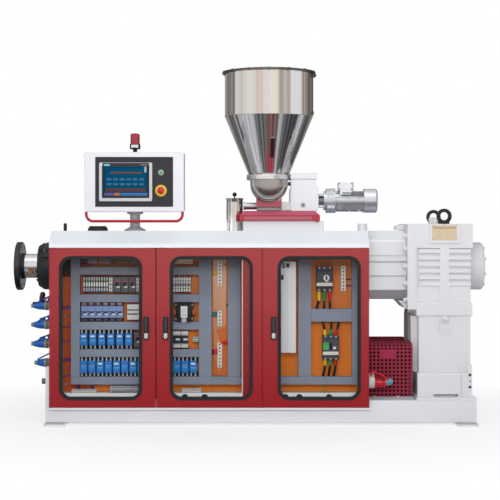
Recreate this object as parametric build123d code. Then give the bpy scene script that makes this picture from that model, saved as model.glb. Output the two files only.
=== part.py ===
from build123d import *
import os
from math import cos, radians, sin

# Conical twin-screw plastic extruder with its electrical cabinet, screw feeder and gearbox.
# Millimetres. X runs from the die to the gearbox, Y runs away from the cabinet doors, Z is up.
# The floor is Z = 0 and the screw axis lies in the plane Y = 0.

# Driving dimensions, along the screw axis from the die to the gearbox
die_flange_thickness = 42.0
adapter_length = 106.0
barrel_cover_reach = 128.0
door_width = 638.0
door_gap = 6.0
case_reach = 256.0
gearbox_plate_thickness = 55.0
gearbox_length = 348.0
end_cap_length = 111.0

# Driving dimensions, across and up
body_depth = 890.0
base_inset = 25.0
foot_overhang = 85.0
foot_thickness = 14.0
base_height = 135.0
base_overhang_left = 32.0
sheet = 4.0

# Doors
door_thickness = 22.0
door_bottom_z = 109.0
door_height = 965.0
window_radius = 70.0
window_hinge_margin = 54.0
window_handle_margin = 80.0
right_window_shift = 9.0
window_bottom_margin = 44.0
window_top_margin = 49.0
gasket_width = 20.0
gasket_proud = 3.0
glass_thickness = 6.0
handle_width = 32.0
handle_height = 138.0
handle_depth = 24.0
handle_from_window = 24.0
handle_rise = 480.0
hinge_rod_radius = 2.7

# Cabinet behind the doors
door_seal_gap = 2.0
cabinet_from_barrel = 8.0
band_height = 25.0
band_gap = 2.0
band_proud = 3.0
post_depth = 36.0
end_post_width = 35.0
middle_post_width = 120.0
right_post_width = 150.0
right_post_shift = 44.0
floor_pan_rise = 8.0
plate_thickness = 3.0
plate_standoff = 17.0
plate_side_margin = 44.0
plate_bottom_margin = 27.0
plate_top_margin = 26.0
plate_pin_inset = 60.0
plate_pin_radius = 12.0

# Top cover over the barrel
shoulder_rise = 77.0
shoulder_run = 113.0
axis_below_cover = 223.0

# Base details
rail_width = 110.0
cross_member_width = 100.0
cross_member_count = 5
foot_length = 127.0
foot_width = 230.0
gearbox_pad_thickness = 16.0
end_panel_height = 186.0
end_post_height = 203.0
end_post_depth = 76.0
end_panel_thickness = 30.0
nipple_radius = 17.0
nipple_length = 38.0
nipple_rise = 104.0

# Barrel end
die_flange_radius = 153.0
die_bore_radius = 38.0
die_bolt_circle = 252.0
die_bolt_count = 8
die_bolt_hole_radius = 11.0
raised_face_radius = 105.0
raised_face_height = 6.0
adapter_radius = 81.0
adapter_neck_radius = 76.0
adapter_neck_length = 18.0
adapter_taper = 12.0
barrel_radius = 125.0
barrel_cover_radius = 150.0
cover_nose_drop = 20.0
cover_nose_length = 34.0
barrel_cover_overlap = 40.0
cover_groove_depth = 12.0
cover_groove_width = 22.0
cover_groove_rise = 48.0
barrel_clearance = 1.0

# Heater plugs on the left flank of the cabinet
plug_count = 4
plug_pitch = 117.0
plug_bottom_rise = 222.0
plug_radius = 27.0
plug_collar = 22.0
plug_length = 106.0
plug_tail_length = 22.0
plug_tail_radius = 14.0
plug_socket_size = 62.0
plug_socket_depth = 30.0
plug_lid_length = 62.0
plug_lid_thickness = 6.0
plug_lid_angle = -28.0
plug_row_back = 150.0

# Wiring ducts and devices: offsets count from the cabinet's left end, rises from the plate's lower edge
duct_depth = 60.0
duct_wide = 78.0
duct_narrow = 48.0
duct_row_pitch = 170.0
duct_bottom_rise = 50.0
duct_top_rise = 834.0
duct_clearance = 1.0
device_height = 93.0
module_width = 47.0
module_height = 80.0
module_depth = 66.0
relay_width = 15.0
relay_depth = 52.0
breaker_width = 46.0
breaker_depth = 58.0
moulded_breaker_width = 103.0
moulded_breaker_height = 151.0
moulded_breaker_depth = 75.0
left_duct_offset = 100.0
left_duct_width = 55.0
middle_duct_offset = 894.0
copper_plate_width = 99.0
copper_thickness = 6.0
right_duct_offset = 1510.0
last_duct_offset = 1842.0
last_duct_width = 39.0
right_row_rise = 440.0
rail_start = 156.0
second_rail_start = 733.0
module_pitch = 50.8
wide_module_pitch = 55.7
relay_lead = 17.0
relay_pitch = 15.8
relay_block_width = 31.0
breaker_pitch = 47.5
contactor_pitch = 50.0
slim_lead = 6.0
slim_pitch = 43.8
slim_module_width = 42.0
slim_module_height = 74.0
four_pole_lead = 24.0
four_pole_width = 86.0
terminal_depth = 42.0
top_terminal_width = 360.0
top_terminal_height = 43.0
bottom_terminal_width = 154.0
bottom_terminal_height = 28.0
right_strip_offset = 331.0
short_strip_width = 123.0
earth_block_width = 43.0
top_strip_rise = 814.0
bottom_strip_rise = 24.0
transformer_lead = 13.0
transformer_width = 112.0
transformer_height = 104.0
transformer_depth = 76.0
transformer_step = 22.0
earth_strip_width = 30.0
earth_strip_depth = 25.0
long_strip_height = 158.0
short_strip_height = 97.0
upper_strip_rise = 737.0
middle_strip_rise = 458.0
lower_strip_rise = 230.0
neutral_strip_offset = 1776.0
upper_breaker_offset = 1620.0
upper_breaker_rise = 705.0
lower_breaker_offset = 1658.0
lower_breaker_rise = 279.0
side_panel_gap = 16.0
side_panel_width = 94.0
side_panel_depth = 90.0
side_panel_bottom_rise = 248.0
side_panel_top_rise = 814.0

# Control panel on its swivel column
panel_width = 616.0
panel_height = 369.0
panel_depth = 150.0
panel_rise = 118.0
panel_corner = 12.0
panel_left_from_cabinet = 186.0
panel_front_back = 180.0
face_width = 484.0
face_height = 310.0
face_sink = 3.0
screen_width = 328.0
screen_height = 239.0
screen_proud = 10.0
screen_margin = 26.0
bezel_shift = 6.0
button_margin = 76.0
lamp_rise = 58.0
estop_drop = 54.0
bezel_width = 289.0
bezel_height = 210.0
column_radius = 31.0
column_flange_radius = 51.0
column_flange_thickness = 10.0
column_foot_radius = 66.0
column_foot_height = 30.0
panel_handle_radius = 8.5
panel_handle_drop = 58.0
panel_handle_bend = 42.0
panel_handle_inset = 10.0
panel_handle_back = 20.0
swivel_clearance = 0.3
estop_ring_radius = 36.0
mushroom_radius = 21.0
estop_height = 40.0
lamp_radius = 12.0
beacon_radius = 33.0
beacon_base_height = 31.0
beacon_lens_height = 67.0
beacon_stem_radius = 13.0
beacon_stem_height = 23.0

# Fittings on the top cover
dome_radius = 62.0
dome_height = 30.0
dome_from_cabinet = 263.0
dome_back = 245.0
pin_radius = 10.5
pin_height = 47.0
pin_from_cabinet = 60.0

# Hopper
hopper_x = 120.0
hopper_radius = 280.0
hopper_wall = 4.0
hopper_cylinder_height = 283.0
hopper_cone_height = 368.0
hopper_outlet_radius = 130.0
hopper_rim_width = 16.0
hopper_rim_height = 12.0
hopper_lid_thickness = 6.0

# Screw feeder
feeder_flange_radius = 138.0
feeder_flange_height = 36.0
feeder_body_radius = 118.0
feeder_body_height = 143.0
feeder_body_rise = 54.0
feeder_screw_rise = 32.0
feeder_tube_radius = 22.0
saddle_width = 150.0
saddle_height = 48.0
saddle_seat = 12.0
seat_clearance = 0.3
block_depth = 150.0
chute_radius = 52.5
chute_shift = 218.0
chute_wall = 3.0
chute_flare = 5.0
chute_flare_height = 24.0
chute_clearance = 4.0
chute_height = 208.0
chute_lid_radius = 61.0
chute_lid_thickness = 9.0
chute_knob_radius = 13.0
chute_knob_stem = 6.0
pedestal_height = 63.0
pedestal_length = 508.0
pedestal_from_chute = 2.0
tray_length = 506.0
pedestal_depth = 200.0
tray_rim_height = 34.0
tray_shoulder = 29.0
tray_overhang = 23.0
housing_from_body = 21.0
feeder_housing_length = 159.0
feeder_housing_depth = 150.0
feeder_housing_height = 241.0
feeder_housing_chamfer = 8.0
feeder_plate_thickness = 14.0
feeder_plate_height = 158.0
motor_axis_rise = 66.0
motor_neck_radius = 32.0
motor_neck_length = 50.0
motor_flange_radius = 77.0
motor_flange_length = 60.0
motor_radius = 62.0
motor_length = 180.0
motor_fin_depth = 8.0
motor_fin_count = 16
motor_cowl_radius = 76.0
motor_cowl_length = 86.0
terminal_box_length = 92.0
terminal_box_width = 100.0
terminal_box_height = 62.0

# Distribution case and gearbox
case_half_width = 216.0
case_rise = 8.0
case_seam = 4.0
gearbox_half_depth = 275.0
gearbox_top_rise = 267.0
gearbox_plate_drop = 262.0
head_height = 150.0
rib_zone_height = 243.0
rib_count = 6
rib_thickness = 27.0
rib_depth = 15.0
rib_start = 16.0
housing_end_inset = 12.0
centre_rib_width = 56.0
gusset_height = 50.0
gusset_reach = 48.0
gusset_width = 400.0
lug_length = 50.0
lug_width = 80.0
lug_height = 30.0
lug_drop = 8.0
skirt_height = 96.0
lower_block_height = 80.0
lower_block_proud = 10.0
lower_inset = 14.0
foot_section_height = 141.0
foot_section_proud = 60.0
end_cap_radius = 150.0
end_cap_rounding = 14.0
end_cap_bolt_count = 8
end_cap_bolt_circle = 124.0
end_cap_bolt_radius = 9.0
end_cap_bolt_head = 12.0
eye_spread = 500.0
eye_outer_radius = 47.0
eye_hole_radius = 25.0
eye_thickness = 24.0
eye_collar_radius = 34.0
eye_collar_height = 12.0
breather_radius = 24.0
breather_height = 42.0
vent_radius = 30.0
vent_height = 46.0
vent_from_end = 12.0
vent_front = 145.0
input_flange_thickness = 26.0
input_flange_radius = 145.0
input_rib_half = 200.0
input_rib_width = 50.0
foot_slot_width = 152.0
foot_slot_height = 12.0
bracket_width = 27.0
bracket_sheet = 5.0
bracket_leg = 40.0
bracket_height = 190.0
bracket_overlap = 14.0
bracket_hole_radius = 5.0
bracket_hole_pitch = 37.0
bracket_first_hole = 56.0

# Main motor and its guard
guard_height = 338.0
guard_half_depth = 305.0
guard_shoulder = 100.0
guard_sheet = 3.0
guard_end_gap = 6.0
main_motor_radius = 125.0
motor_cowl_step = 14.0
main_motor_length = 640.0
main_motor_rise = 180.0
inlet_rise = 120.0
inlet_size = 104.0
inlet_depth = 34.0
power_plug_radius = 40.0
power_plug_length = 122.0
power_plug_back = 80.0

# Sizes that follow from others
base_depth = body_depth - 2 * base_inset
window_width = door_width - window_hinge_margin - window_handle_margin
window_height = door_height - window_bottom_margin - window_top_margin

# Places along X, from the die face to the end cap
cabinet_width = 3 * door_width + 2 * door_gap
overall_length = (die_flange_thickness + adapter_length + barrel_cover_reach + cabinet_width
                  + case_reach + gearbox_plate_thickness + gearbox_length + end_cap_length)
die_face_x = -overall_length / 2
adapter_x = die_face_x + die_flange_thickness
barrel_cover_x = adapter_x + adapter_length
cabinet_x = barrel_cover_x + barrel_cover_reach
cabinet_end_x = cabinet_x + cabinet_width
plate_x = cabinet_end_x + case_reach
gearbox_x = plate_x + gearbox_plate_thickness
gearbox_end_x = gearbox_x + gearbox_length
base_x = cabinet_x - base_overhang_left
base_end_x = gearbox_end_x
cover_end_x = cabinet_end_x + door_gap

# Places across Y and up Z
door_front_y = -body_depth / 2
door_back_y = door_front_y + door_thickness
post_front_y = door_back_y + door_seal_gap
cabinet_back_y = -barrel_cover_radius - cabinet_from_barrel
plate_front_y = cabinet_back_y - plate_standoff - plate_thickness
duct_front_y = plate_front_y - duct_depth
base_top_z = foot_thickness + base_height
pan_z = base_top_z + floor_pan_rise
door_top_z = door_bottom_z + door_height
band_bottom_z = door_top_z + band_gap
band_top_z = band_bottom_z + band_height
cover_top_z = band_top_z + shoulder_rise
screw_axis_z = cover_top_z - axis_below_cover
cover_half_depth = body_depth / 2 + band_proud
handle_z = door_bottom_z + handle_rise
nipple_z = base_top_z + nipple_rise
plug_bottom_z = base_top_z + plug_bottom_rise
guard_top_z = base_top_z + guard_height
main_motor_z = base_top_z + main_motor_rise
inlet_z = base_top_z + inlet_rise
gearbox_top_z = screw_axis_z + gearbox_top_rise
gearbox_plate_bottom_z = screw_axis_z - gearbox_plate_drop

# Places on the mounting plate
plate_bottom_z = base_top_z + plate_bottom_margin
plate_top_z = band_bottom_z - plate_top_margin
duct_bottom_z = plate_bottom_z + duct_bottom_rise
duct_top_z = plate_bottom_z + duct_top_rise

# Places up the feeder, the hopper and the control panel
tray_bottom_z = cover_top_z + pedestal_height
tray_top_z = tray_bottom_z + tray_rim_height + tray_shoulder
feeder_body_z = tray_top_z + feeder_body_rise
hopper_outlet_z = feeder_body_z + feeder_body_height + feeder_flange_height
hopper_shoulder_z = hopper_outlet_z + hopper_cone_height
hopper_top_z = hopper_shoulder_z + hopper_cylinder_height
feeder_screw_z = tray_top_z + feeder_screw_rise
motor_axis_z = tray_top_z + motor_axis_rise
chute_top_z = cover_top_z + chute_height
panel_bottom_z = cover_top_z + panel_rise
panel_x = cabinet_x + panel_left_from_cabinet + panel_width / 2
panel_front_y = door_front_y + panel_front_back
column_y = panel_front_y + panel_depth / 2


def block(x0, x1, y0, y1, z0, z1):
    """A box between two corners."""
    return Pos((x0 + x1) / 2, (y0 + y1) / 2, (z0 + z1) / 2) * Box(x1 - x0, y1 - y0, z1 - z0)


def rod_x(radius, x0, x1, y, z):
    """A cylinder along X."""
    return Pos((x0 + x1) / 2, y, z) * Rot(0, 90, 0) * Cylinder(radius, x1 - x0)


def rod_y(radius, y0, y1, x, z):
    """A cylinder along Y."""
    return Pos(x, (y0 + y1) / 2, z) * Rot(90, 0, 0) * Cylinder(radius, y1 - y0)


def rod_z(radius, z0, z1, x, y):
    """A cylinder along Z."""
    return Pos(x, y, (z0 + z1) / 2) * Cylinder(radius, z1 - z0)


def rounded_plate(width, height, radius, y0, y1, x, z):
    """A plate with rounded corners that faces the doors' side, centred at x, z."""
    plane = Plane(origin=(x, y1, z), x_dir=(1, 0, 0), z_dir=(0, -1, 0))
    return extrude(plane * RectangleRounded(width, height, radius), y1 - y0)


def along_x(points, x0, x1):
    """A solid of constant section along X from its (y, z) outline."""
    outline = Plane.YZ.offset(x0) * Polyline(*points, close=True)
    return extrude(make_face(outline), x1 - x0, dir=(1, 0, 0))


def turned(points, x, y):
    """A solid turned about a vertical axis from its (radius, z) outline."""
    outline = Plane.XZ * Polyline(*points, close=True)
    return Pos(x, y, 0) * revolve(make_face(outline), Axis.Z)


def turned_x(points, y, z):
    """A solid turned about an axis along X from its (x, radius) outline."""
    outline = Plane.XZ * Polyline(*points, close=True)
    return Pos(0, y, z) * revolve(make_face(outline), Axis.X)


parts = {}


def foot_centres():
    """Places of the foot plates along the base, flush with its ends."""
    return [base_x + foot_length / 2, base_end_x - foot_length / 2]


def make_base():
    """Two long rails with cross members between them, on foot plates."""
    half = base_depth / 2
    solids = []
    for side in (-1, 1):
        outer = side * half
        inner = side * (half - rail_width)
        rail = block(base_x, base_end_x, min(outer, inner), max(outer, inner), foot_thickness, base_top_z)
        solids.append(fillet(rail.edges().filter_by(Axis.X), 5))
    reach = half - rail_width - duct_clearance / 2
    step = (base_end_x - base_x - cross_member_width) / (cross_member_count - 1)
    for i in range(cross_member_count):
        x = base_x + i * step
        solids.append(block(x, x + cross_member_width, -reach, reach, foot_thickness, base_top_z))
    parts["base_frame"] = Compound(solids)

    plates = []
    for side in (-1, 1):
        for x in foot_centres():
            near = side * (half + foot_overhang)
            far = side * (half + foot_overhang - foot_width)
            plate = block(x - foot_length / 2, x + foot_length / 2, min(near, far), max(near, far), 0,
                          foot_thickness)
            plates.append(fillet(plate.edges().filter_by(Axis.Z), 10))
    parts["foot_plates"] = Compound(plates)

    panel = block(base_x, base_x + end_panel_thickness, -half, half, base_top_z,
                  base_top_z + end_panel_height)
    panel += block(base_x, base_x + end_panel_thickness, -half, -half + end_post_depth, base_top_z,
                   base_top_z + end_post_height)
    panel = fillet(panel.edges().filter_by(Axis.Z).group_by(Axis.X)[0], 6)
    nipple_y = door_front_y + plug_row_back
    panel += rod_x(nipple_radius, base_x - nipple_length, base_x, nipple_y, nipple_z)
    panel -= rod_x(nipple_radius * 0.7, base_x - nipple_length, base_x - 4, nipple_y, nipple_z)
    parts["end_panel"] = panel

    pad = block(plate_x + 40, base_end_x, -half, half, base_top_z, base_top_z + gearbox_pad_thickness)
    parts["gearbox_pad"] = fillet(pad.edges().filter_by(Axis.Z), 8)


def post_places():
    """Start and end in X of each red post behind the doors."""
    first_split = cabinet_x + door_width + door_gap / 2
    second_split = first_split + door_width + door_gap
    right_centre = second_split - right_post_shift
    return [
        (cabinet_x + sheet, cabinet_x + sheet + end_post_width),
        (first_split - middle_post_width / 2, first_split + middle_post_width / 2),
        (right_centre - right_post_width / 2, right_centre + right_post_width / 2),
        (cabinet_end_x - sheet - end_post_width, cabinet_end_x - sheet),
    ]


def hinge_places():
    """X of each door's hinge line: left door on its left edge, the others on their right edge."""
    return [
        cabinet_x - door_gap / 2,
        cabinet_x + 2 * door_width + 1.5 * door_gap,
        cabinet_end_x + door_gap / 2,
    ]


def make_cabinet():
    """Side walls, back wall and floor pan, the posts behind the doors, and the mounting plate."""
    gap = duct_clearance / 2
    left = block(cabinet_x, cabinet_x + sheet - gap, post_front_y, cabinet_back_y, base_top_z, band_bottom_z)
    right = block(cabinet_end_x - sheet + gap, cabinet_end_x, post_front_y, cabinet_back_y, base_top_z,
                  band_bottom_z)
    back = block(cabinet_x + sheet, cabinet_end_x - sheet, cabinet_back_y - sheet, cabinet_back_y,
                 pan_z + gap, band_bottom_z)
    pan = block(cabinet_x + sheet, cabinet_end_x - sheet, post_front_y, cabinet_back_y, base_top_z, pan_z)
    parts["cabinet_walls"] = Compound([left, right, back, pan])

    sill = block(cabinet_x - base_overhang_left / 4, cabinet_end_x + base_overhang_left / 4,
                 door_front_y - band_proud, -base_depth / 2 - gap, door_bottom_z - band_gap - 12,
                 door_bottom_z - band_gap)
    parts["cabinet_sill"] = fillet(sill.edges().filter_by(Axis.X), 2)

    solids = []
    for x0, x1 in post_places():
        post = block(x0, x1, post_front_y, post_front_y + post_depth, pan_z + gap, band_bottom_z)
        solids.append(fillet(post.edges().filter_by(Axis.Z), 4))
    for x in hinge_places():
        solids.append(rod_z(hinge_rod_radius, door_bottom_z - band_gap, band_bottom_z, x, door_front_y))
    parts["cabinet_posts"] = Compound(solids)

    plate = block(cabinet_x + plate_side_margin, cabinet_end_x - plate_side_margin, plate_front_y,
                  plate_front_y + plate_thickness, plate_bottom_z, plate_top_z)
    inset = plate_side_margin + plate_pin_inset
    for x in (cabinet_x + inset, (cabinet_x + cabinet_end_x) / 2, cabinet_end_x - inset):
        for z in (plate_bottom_z + plate_pin_inset, plate_top_z - plate_pin_inset):
            plate += rod_y(plate_pin_radius, plate_front_y + plate_thickness, cabinet_back_y - sheet, x, z)
    parts["mounting_plate"] = plate


def make_top_cover():
    """Folded cover with a sloped shoulder on each long side."""
    half = cover_half_depth
    flat = half - shoulder_run
    outer = [(-half, band_bottom_z), (-half, band_top_z), (-flat, cover_top_z), (flat, cover_top_z),
             (half, band_top_z), (half, band_bottom_z)]
    t = sheet
    inner = [(half - t, band_bottom_z), (half - t, band_top_z - t), (flat - t / 2, cover_top_z - t),
             (-flat + t / 2, cover_top_z - t), (-half + t, band_top_z - t), (-half + t, band_bottom_z)]
    cover = along_x(outer + inner, cabinet_x - door_gap, cabinet_end_x + door_gap)
    lip_back = post_front_y + post_depth
    cover += block(cabinet_x - door_gap, cabinet_end_x + door_gap, -half, lip_back, band_bottom_z,
                   band_bottom_z + t)
    parts["top_cover"] = cover


def make_rear_panels():
    """Plain service panels on the far side, and the walls at both ends behind the cabinet."""
    half = body_depth / 2
    gap = duct_clearance / 2
    solids = []
    step = (cabinet_width + door_gap) / 3
    for i in range(3):
        x0 = cabinet_x + i * step
        panel = block(x0, x0 + step - door_gap, half - door_thickness, half, door_bottom_z, band_bottom_z)
        solids.append(fillet(panel.edges().filter_by(Axis.Z), 4))
    wall_y0 = cabinet_back_y + gap
    wall_y1 = half - door_thickness - gap
    left = block(cabinet_x, cabinet_x + sheet, wall_y0, wall_y1, base_top_z, band_bottom_z)
    left -= rod_x(barrel_cover_radius + barrel_clearance, cabinet_x - 1, cabinet_x + sheet + 1, 0,
                  screw_axis_z)
    right = block(cabinet_end_x - sheet, cabinet_end_x, wall_y0, wall_y1, guard_top_z, band_bottom_z)
    right -= rod_x(barrel_radius + barrel_clearance, cabinet_end_x - sheet - 1, cabinet_end_x + 1, 0,
                   screw_axis_z)
    parts["rear_panels"] = Compound(solids + [left, right])


def case_prism(apothem, x0, x1):
    """A twelve-sided bar about the screw axis, flat towards the doors."""
    corner = apothem / cos(radians(15))
    centre_z = screw_axis_z + case_rise
    points = []
    for i in range(12):
        angle = radians(15 + 30 * i)
        points.append((corner * cos(angle), centre_z + corner * sin(angle)))
    return along_x(points, x0, x1)


def make_barrel():
    """Barrel, filled by its screws, its end cover, the die adapter and the die flange."""
    parts["barrel"] = rod_x(barrel_radius, barrel_cover_x, cover_end_x, 0, screw_axis_z)

    r = barrel_cover_radius
    bore = barrel_radius + seat_clearance
    end = cabinet_x + barrel_cover_overlap
    points = [(barrel_cover_x, bore), (barrel_cover_x, r - cover_nose_drop),
              (barrel_cover_x + cover_nose_length, r), (end, r), (end, bore)]
    cover = turned_x(points, 0, screw_axis_z)
    groove_z = screw_axis_z + cover_groove_rise
    for side in (-1, 1):
        near = side * r
        far = side * (r - cover_groove_depth - 10)
        cover -= block(barrel_cover_x - 1, cabinet_x - 6, min(near, far), max(near, far),
                       groove_z - cover_groove_width / 2, groove_z + cover_groove_width / 2)
    for i in range(2):
        x = barrel_cover_x + 32 + i * 44
        cover -= block(x, x + 14, -60, 60, screw_axis_z + r - 9, screw_axis_z + r + 1)
    parts["barrel_cover"] = cover

    neck = adapter_neck_radius
    shoulder_x = adapter_x + adapter_neck_length
    points = [(adapter_x, die_bore_radius), (adapter_x, neck), (shoulder_x, neck),
              (shoulder_x + adapter_taper, adapter_radius), (barrel_cover_x, adapter_radius),
              (barrel_cover_x, die_bore_radius)]
    parts["die_adapter"] = turned_x(points, 0, screw_axis_z)

    r = die_flange_radius
    x0 = die_face_x
    x1 = adapter_x
    face_x = x0 + raised_face_height
    profile = [(x0, die_bore_radius), (x0, raised_face_radius), (face_x, raised_face_radius), (face_x, r - 3),
               (face_x + 3, r), (x1 - 4, r), (x1, r - 4), (x1, die_bore_radius)]
    flange = turned_x(profile, 0, screw_axis_z)
    for i in range(die_bolt_count):
        angle = radians(360 / die_bolt_count * (i + 0.5))
        y = die_bolt_circle / 2 * cos(angle)
        z = screw_axis_z + die_bolt_circle / 2 * sin(angle)
        flange -= rod_x(die_bolt_hole_radius, x0 - 1, x1 + 1, y, z)
    parts["die_flange"] = flange


def make_heater_plugs():
    """A column of sockets with plugs on the left flank of the cabinet, each under its open lid."""
    y = door_front_y + plug_row_back
    half = plug_socket_size / 2
    solids = []
    for i in range(plug_count):
        z = plug_bottom_z + i * plug_pitch
        x0 = cabinet_x - plug_socket_depth
        x1 = x0 - plug_length + plug_tail_length
        one = block(x0, cabinet_x, y - half, y + half, z - half, z + half)
        one = fillet(one.edges().filter_by(Axis.X), 8)
        hood = [(x0, 0), (x0, plug_radius), (x0 - plug_collar, plug_radius), (x1, plug_tail_radius),
                (x0 - plug_length, plug_tail_radius), (x0 - plug_length, 0)]
        one += turned_x(hood, y, z)
        lid = Pos(x0, y, z + half) * Rot(0, plug_lid_angle, 0) * Pos(-plug_lid_length / 2, 0, 0) * Box(
            plug_lid_length, plug_socket_size, plug_lid_thickness)
        solids.append(one + lid)
    parts["heater_plugs"] = Compound(solids)


def make_doors():
    """Three doors, each a red frame round a window with a rubber gasket, glass and a handle."""
    z = door_bottom_z + door_height / 2
    window_z = door_bottom_z + window_bottom_margin + window_height / 2
    inner_width = window_width - 2 * gasket_width
    inner_height = window_height - 2 * gasket_width
    inner_radius = window_radius - gasket_width
    for i, name in enumerate(("left", "middle", "right")):
        x0 = cabinet_x + i * (door_width + door_gap)
        hinge_left = name == "left"
        margin = window_hinge_margin + window_width / 2
        margin -= right_window_shift if name == "right" else 0
        window_x = x0 + margin if hinge_left else x0 + door_width - margin
        handle_reach = window_width / 2 + handle_from_window
        handle_x = window_x + handle_reach if hinge_left else window_x - handle_reach
        door = block(x0, x0 + door_width, door_front_y, door_back_y, door_bottom_z, door_top_z)
        door = fillet(door.edges().group_by(Axis.Y)[0].filter_by(Axis.Z), 2)
        door -= rounded_plate(window_width, window_height, window_radius, door_front_y - 1, door_back_y + 1,
                              window_x, window_z)
        parts["door_" + name] = door

        gasket = rounded_plate(window_width, window_height, window_radius, door_front_y - gasket_proud,
                               door_back_y, window_x, window_z)
        gasket -= rounded_plate(inner_width, inner_height, inner_radius, door_front_y - gasket_proud - 1,
                                door_back_y + 1, window_x, window_z)
        parts["door_" + name + "_gasket"] = gasket

        pane_y = (door_front_y + door_back_y) / 2
        pane_half = glass_thickness / 2
        pane = rounded_plate(inner_width, inner_height, inner_radius, pane_y - pane_half, pane_y + pane_half,
                             window_x, window_z)
        parts["door_" + name + "_glass"] = pane

        body = rounded_plate(handle_width, handle_height, handle_width / 2 - 1, door_front_y - handle_depth,
                             door_front_y, handle_x, handle_z)
        body = fillet(body.edges().group_by(Axis.Y)[0], 5)
        body -= rounded_plate(handle_width - 16, handle_height * 0.5, 7, door_front_y - handle_depth - 1,
                              door_front_y - handle_depth + 5, handle_x, handle_z + handle_height * 0.14)
        body += rod_y(10, door_front_y - handle_depth - 4, door_front_y - handle_depth + 5, handle_x,
                      handle_z - handle_height * 0.32)
        parts["door_" + name + "_handle"] = body


def duct_row_z(row):
    """Bottom of a horizontal duct, counted from the lowest."""
    return duct_bottom_z + row * duct_row_pitch


def at(offset):
    """X of a device, counted from the cabinet's left end."""
    return cabinet_x + offset


def up(rise):
    """Height of a device, counted from the mounting plate's lower edge."""
    return plate_bottom_z + rise


def device(x, width, height, depth, z):
    """A boxy device on the mounting plate with its front edges rounded."""
    back = plate_front_y
    body = block(x, x + width, back - depth, back, z - height / 2, z + height / 2)
    return fillet(body.edges().group_by(Axis.Y)[0].filter_by(Axis.X), 3)


def device_row(offset, pitch, count, width, height, depth, z):
    """Like devices side by side, the first at an offset from the cabinet's left end."""
    return [device(at(offset + i * pitch), width, height, depth, z) for i in range(count)]


def row_centre(row):
    """Middle height of the space above a horizontal duct."""
    return duct_row_z(row) + duct_narrow + (duct_row_pitch - duct_narrow) / 2


def make_ducts():
    """Slotted wiring ducts in rows and columns."""
    front = duct_front_y
    back = plate_front_y
    gap = duct_clearance
    low = duct_bottom_z + duct_narrow + gap
    left = at(left_duct_offset)
    middle = at(middle_duct_offset)
    right = at(right_duct_offset)
    last = at(last_duct_offset)
    columns = [
        (left, left_duct_width),
        (middle, duct_wide),
        (middle + duct_wide + copper_plate_width + 2 * gap, duct_wide),
        (right, duct_wide),
        (last, last_duct_width),
    ]
    solids = [block(left, last + last_duct_width, front, back, duct_bottom_z, duct_bottom_z + duct_narrow)]
    for x, width in columns:
        solids.append(block(x, x + width, front, back, low, duct_top_z))
    for row in range(1, 5):
        z = duct_row_z(row)
        solids.append(block(left + left_duct_width + gap, middle - gap, front, back, z, z + duct_narrow))
    low = up(right_row_rise)
    solids.append(block(right + duct_wide + gap, last - gap, front, back, low, low + duct_wide))
    parts["cable_ducts"] = Compound(solids)


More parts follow.
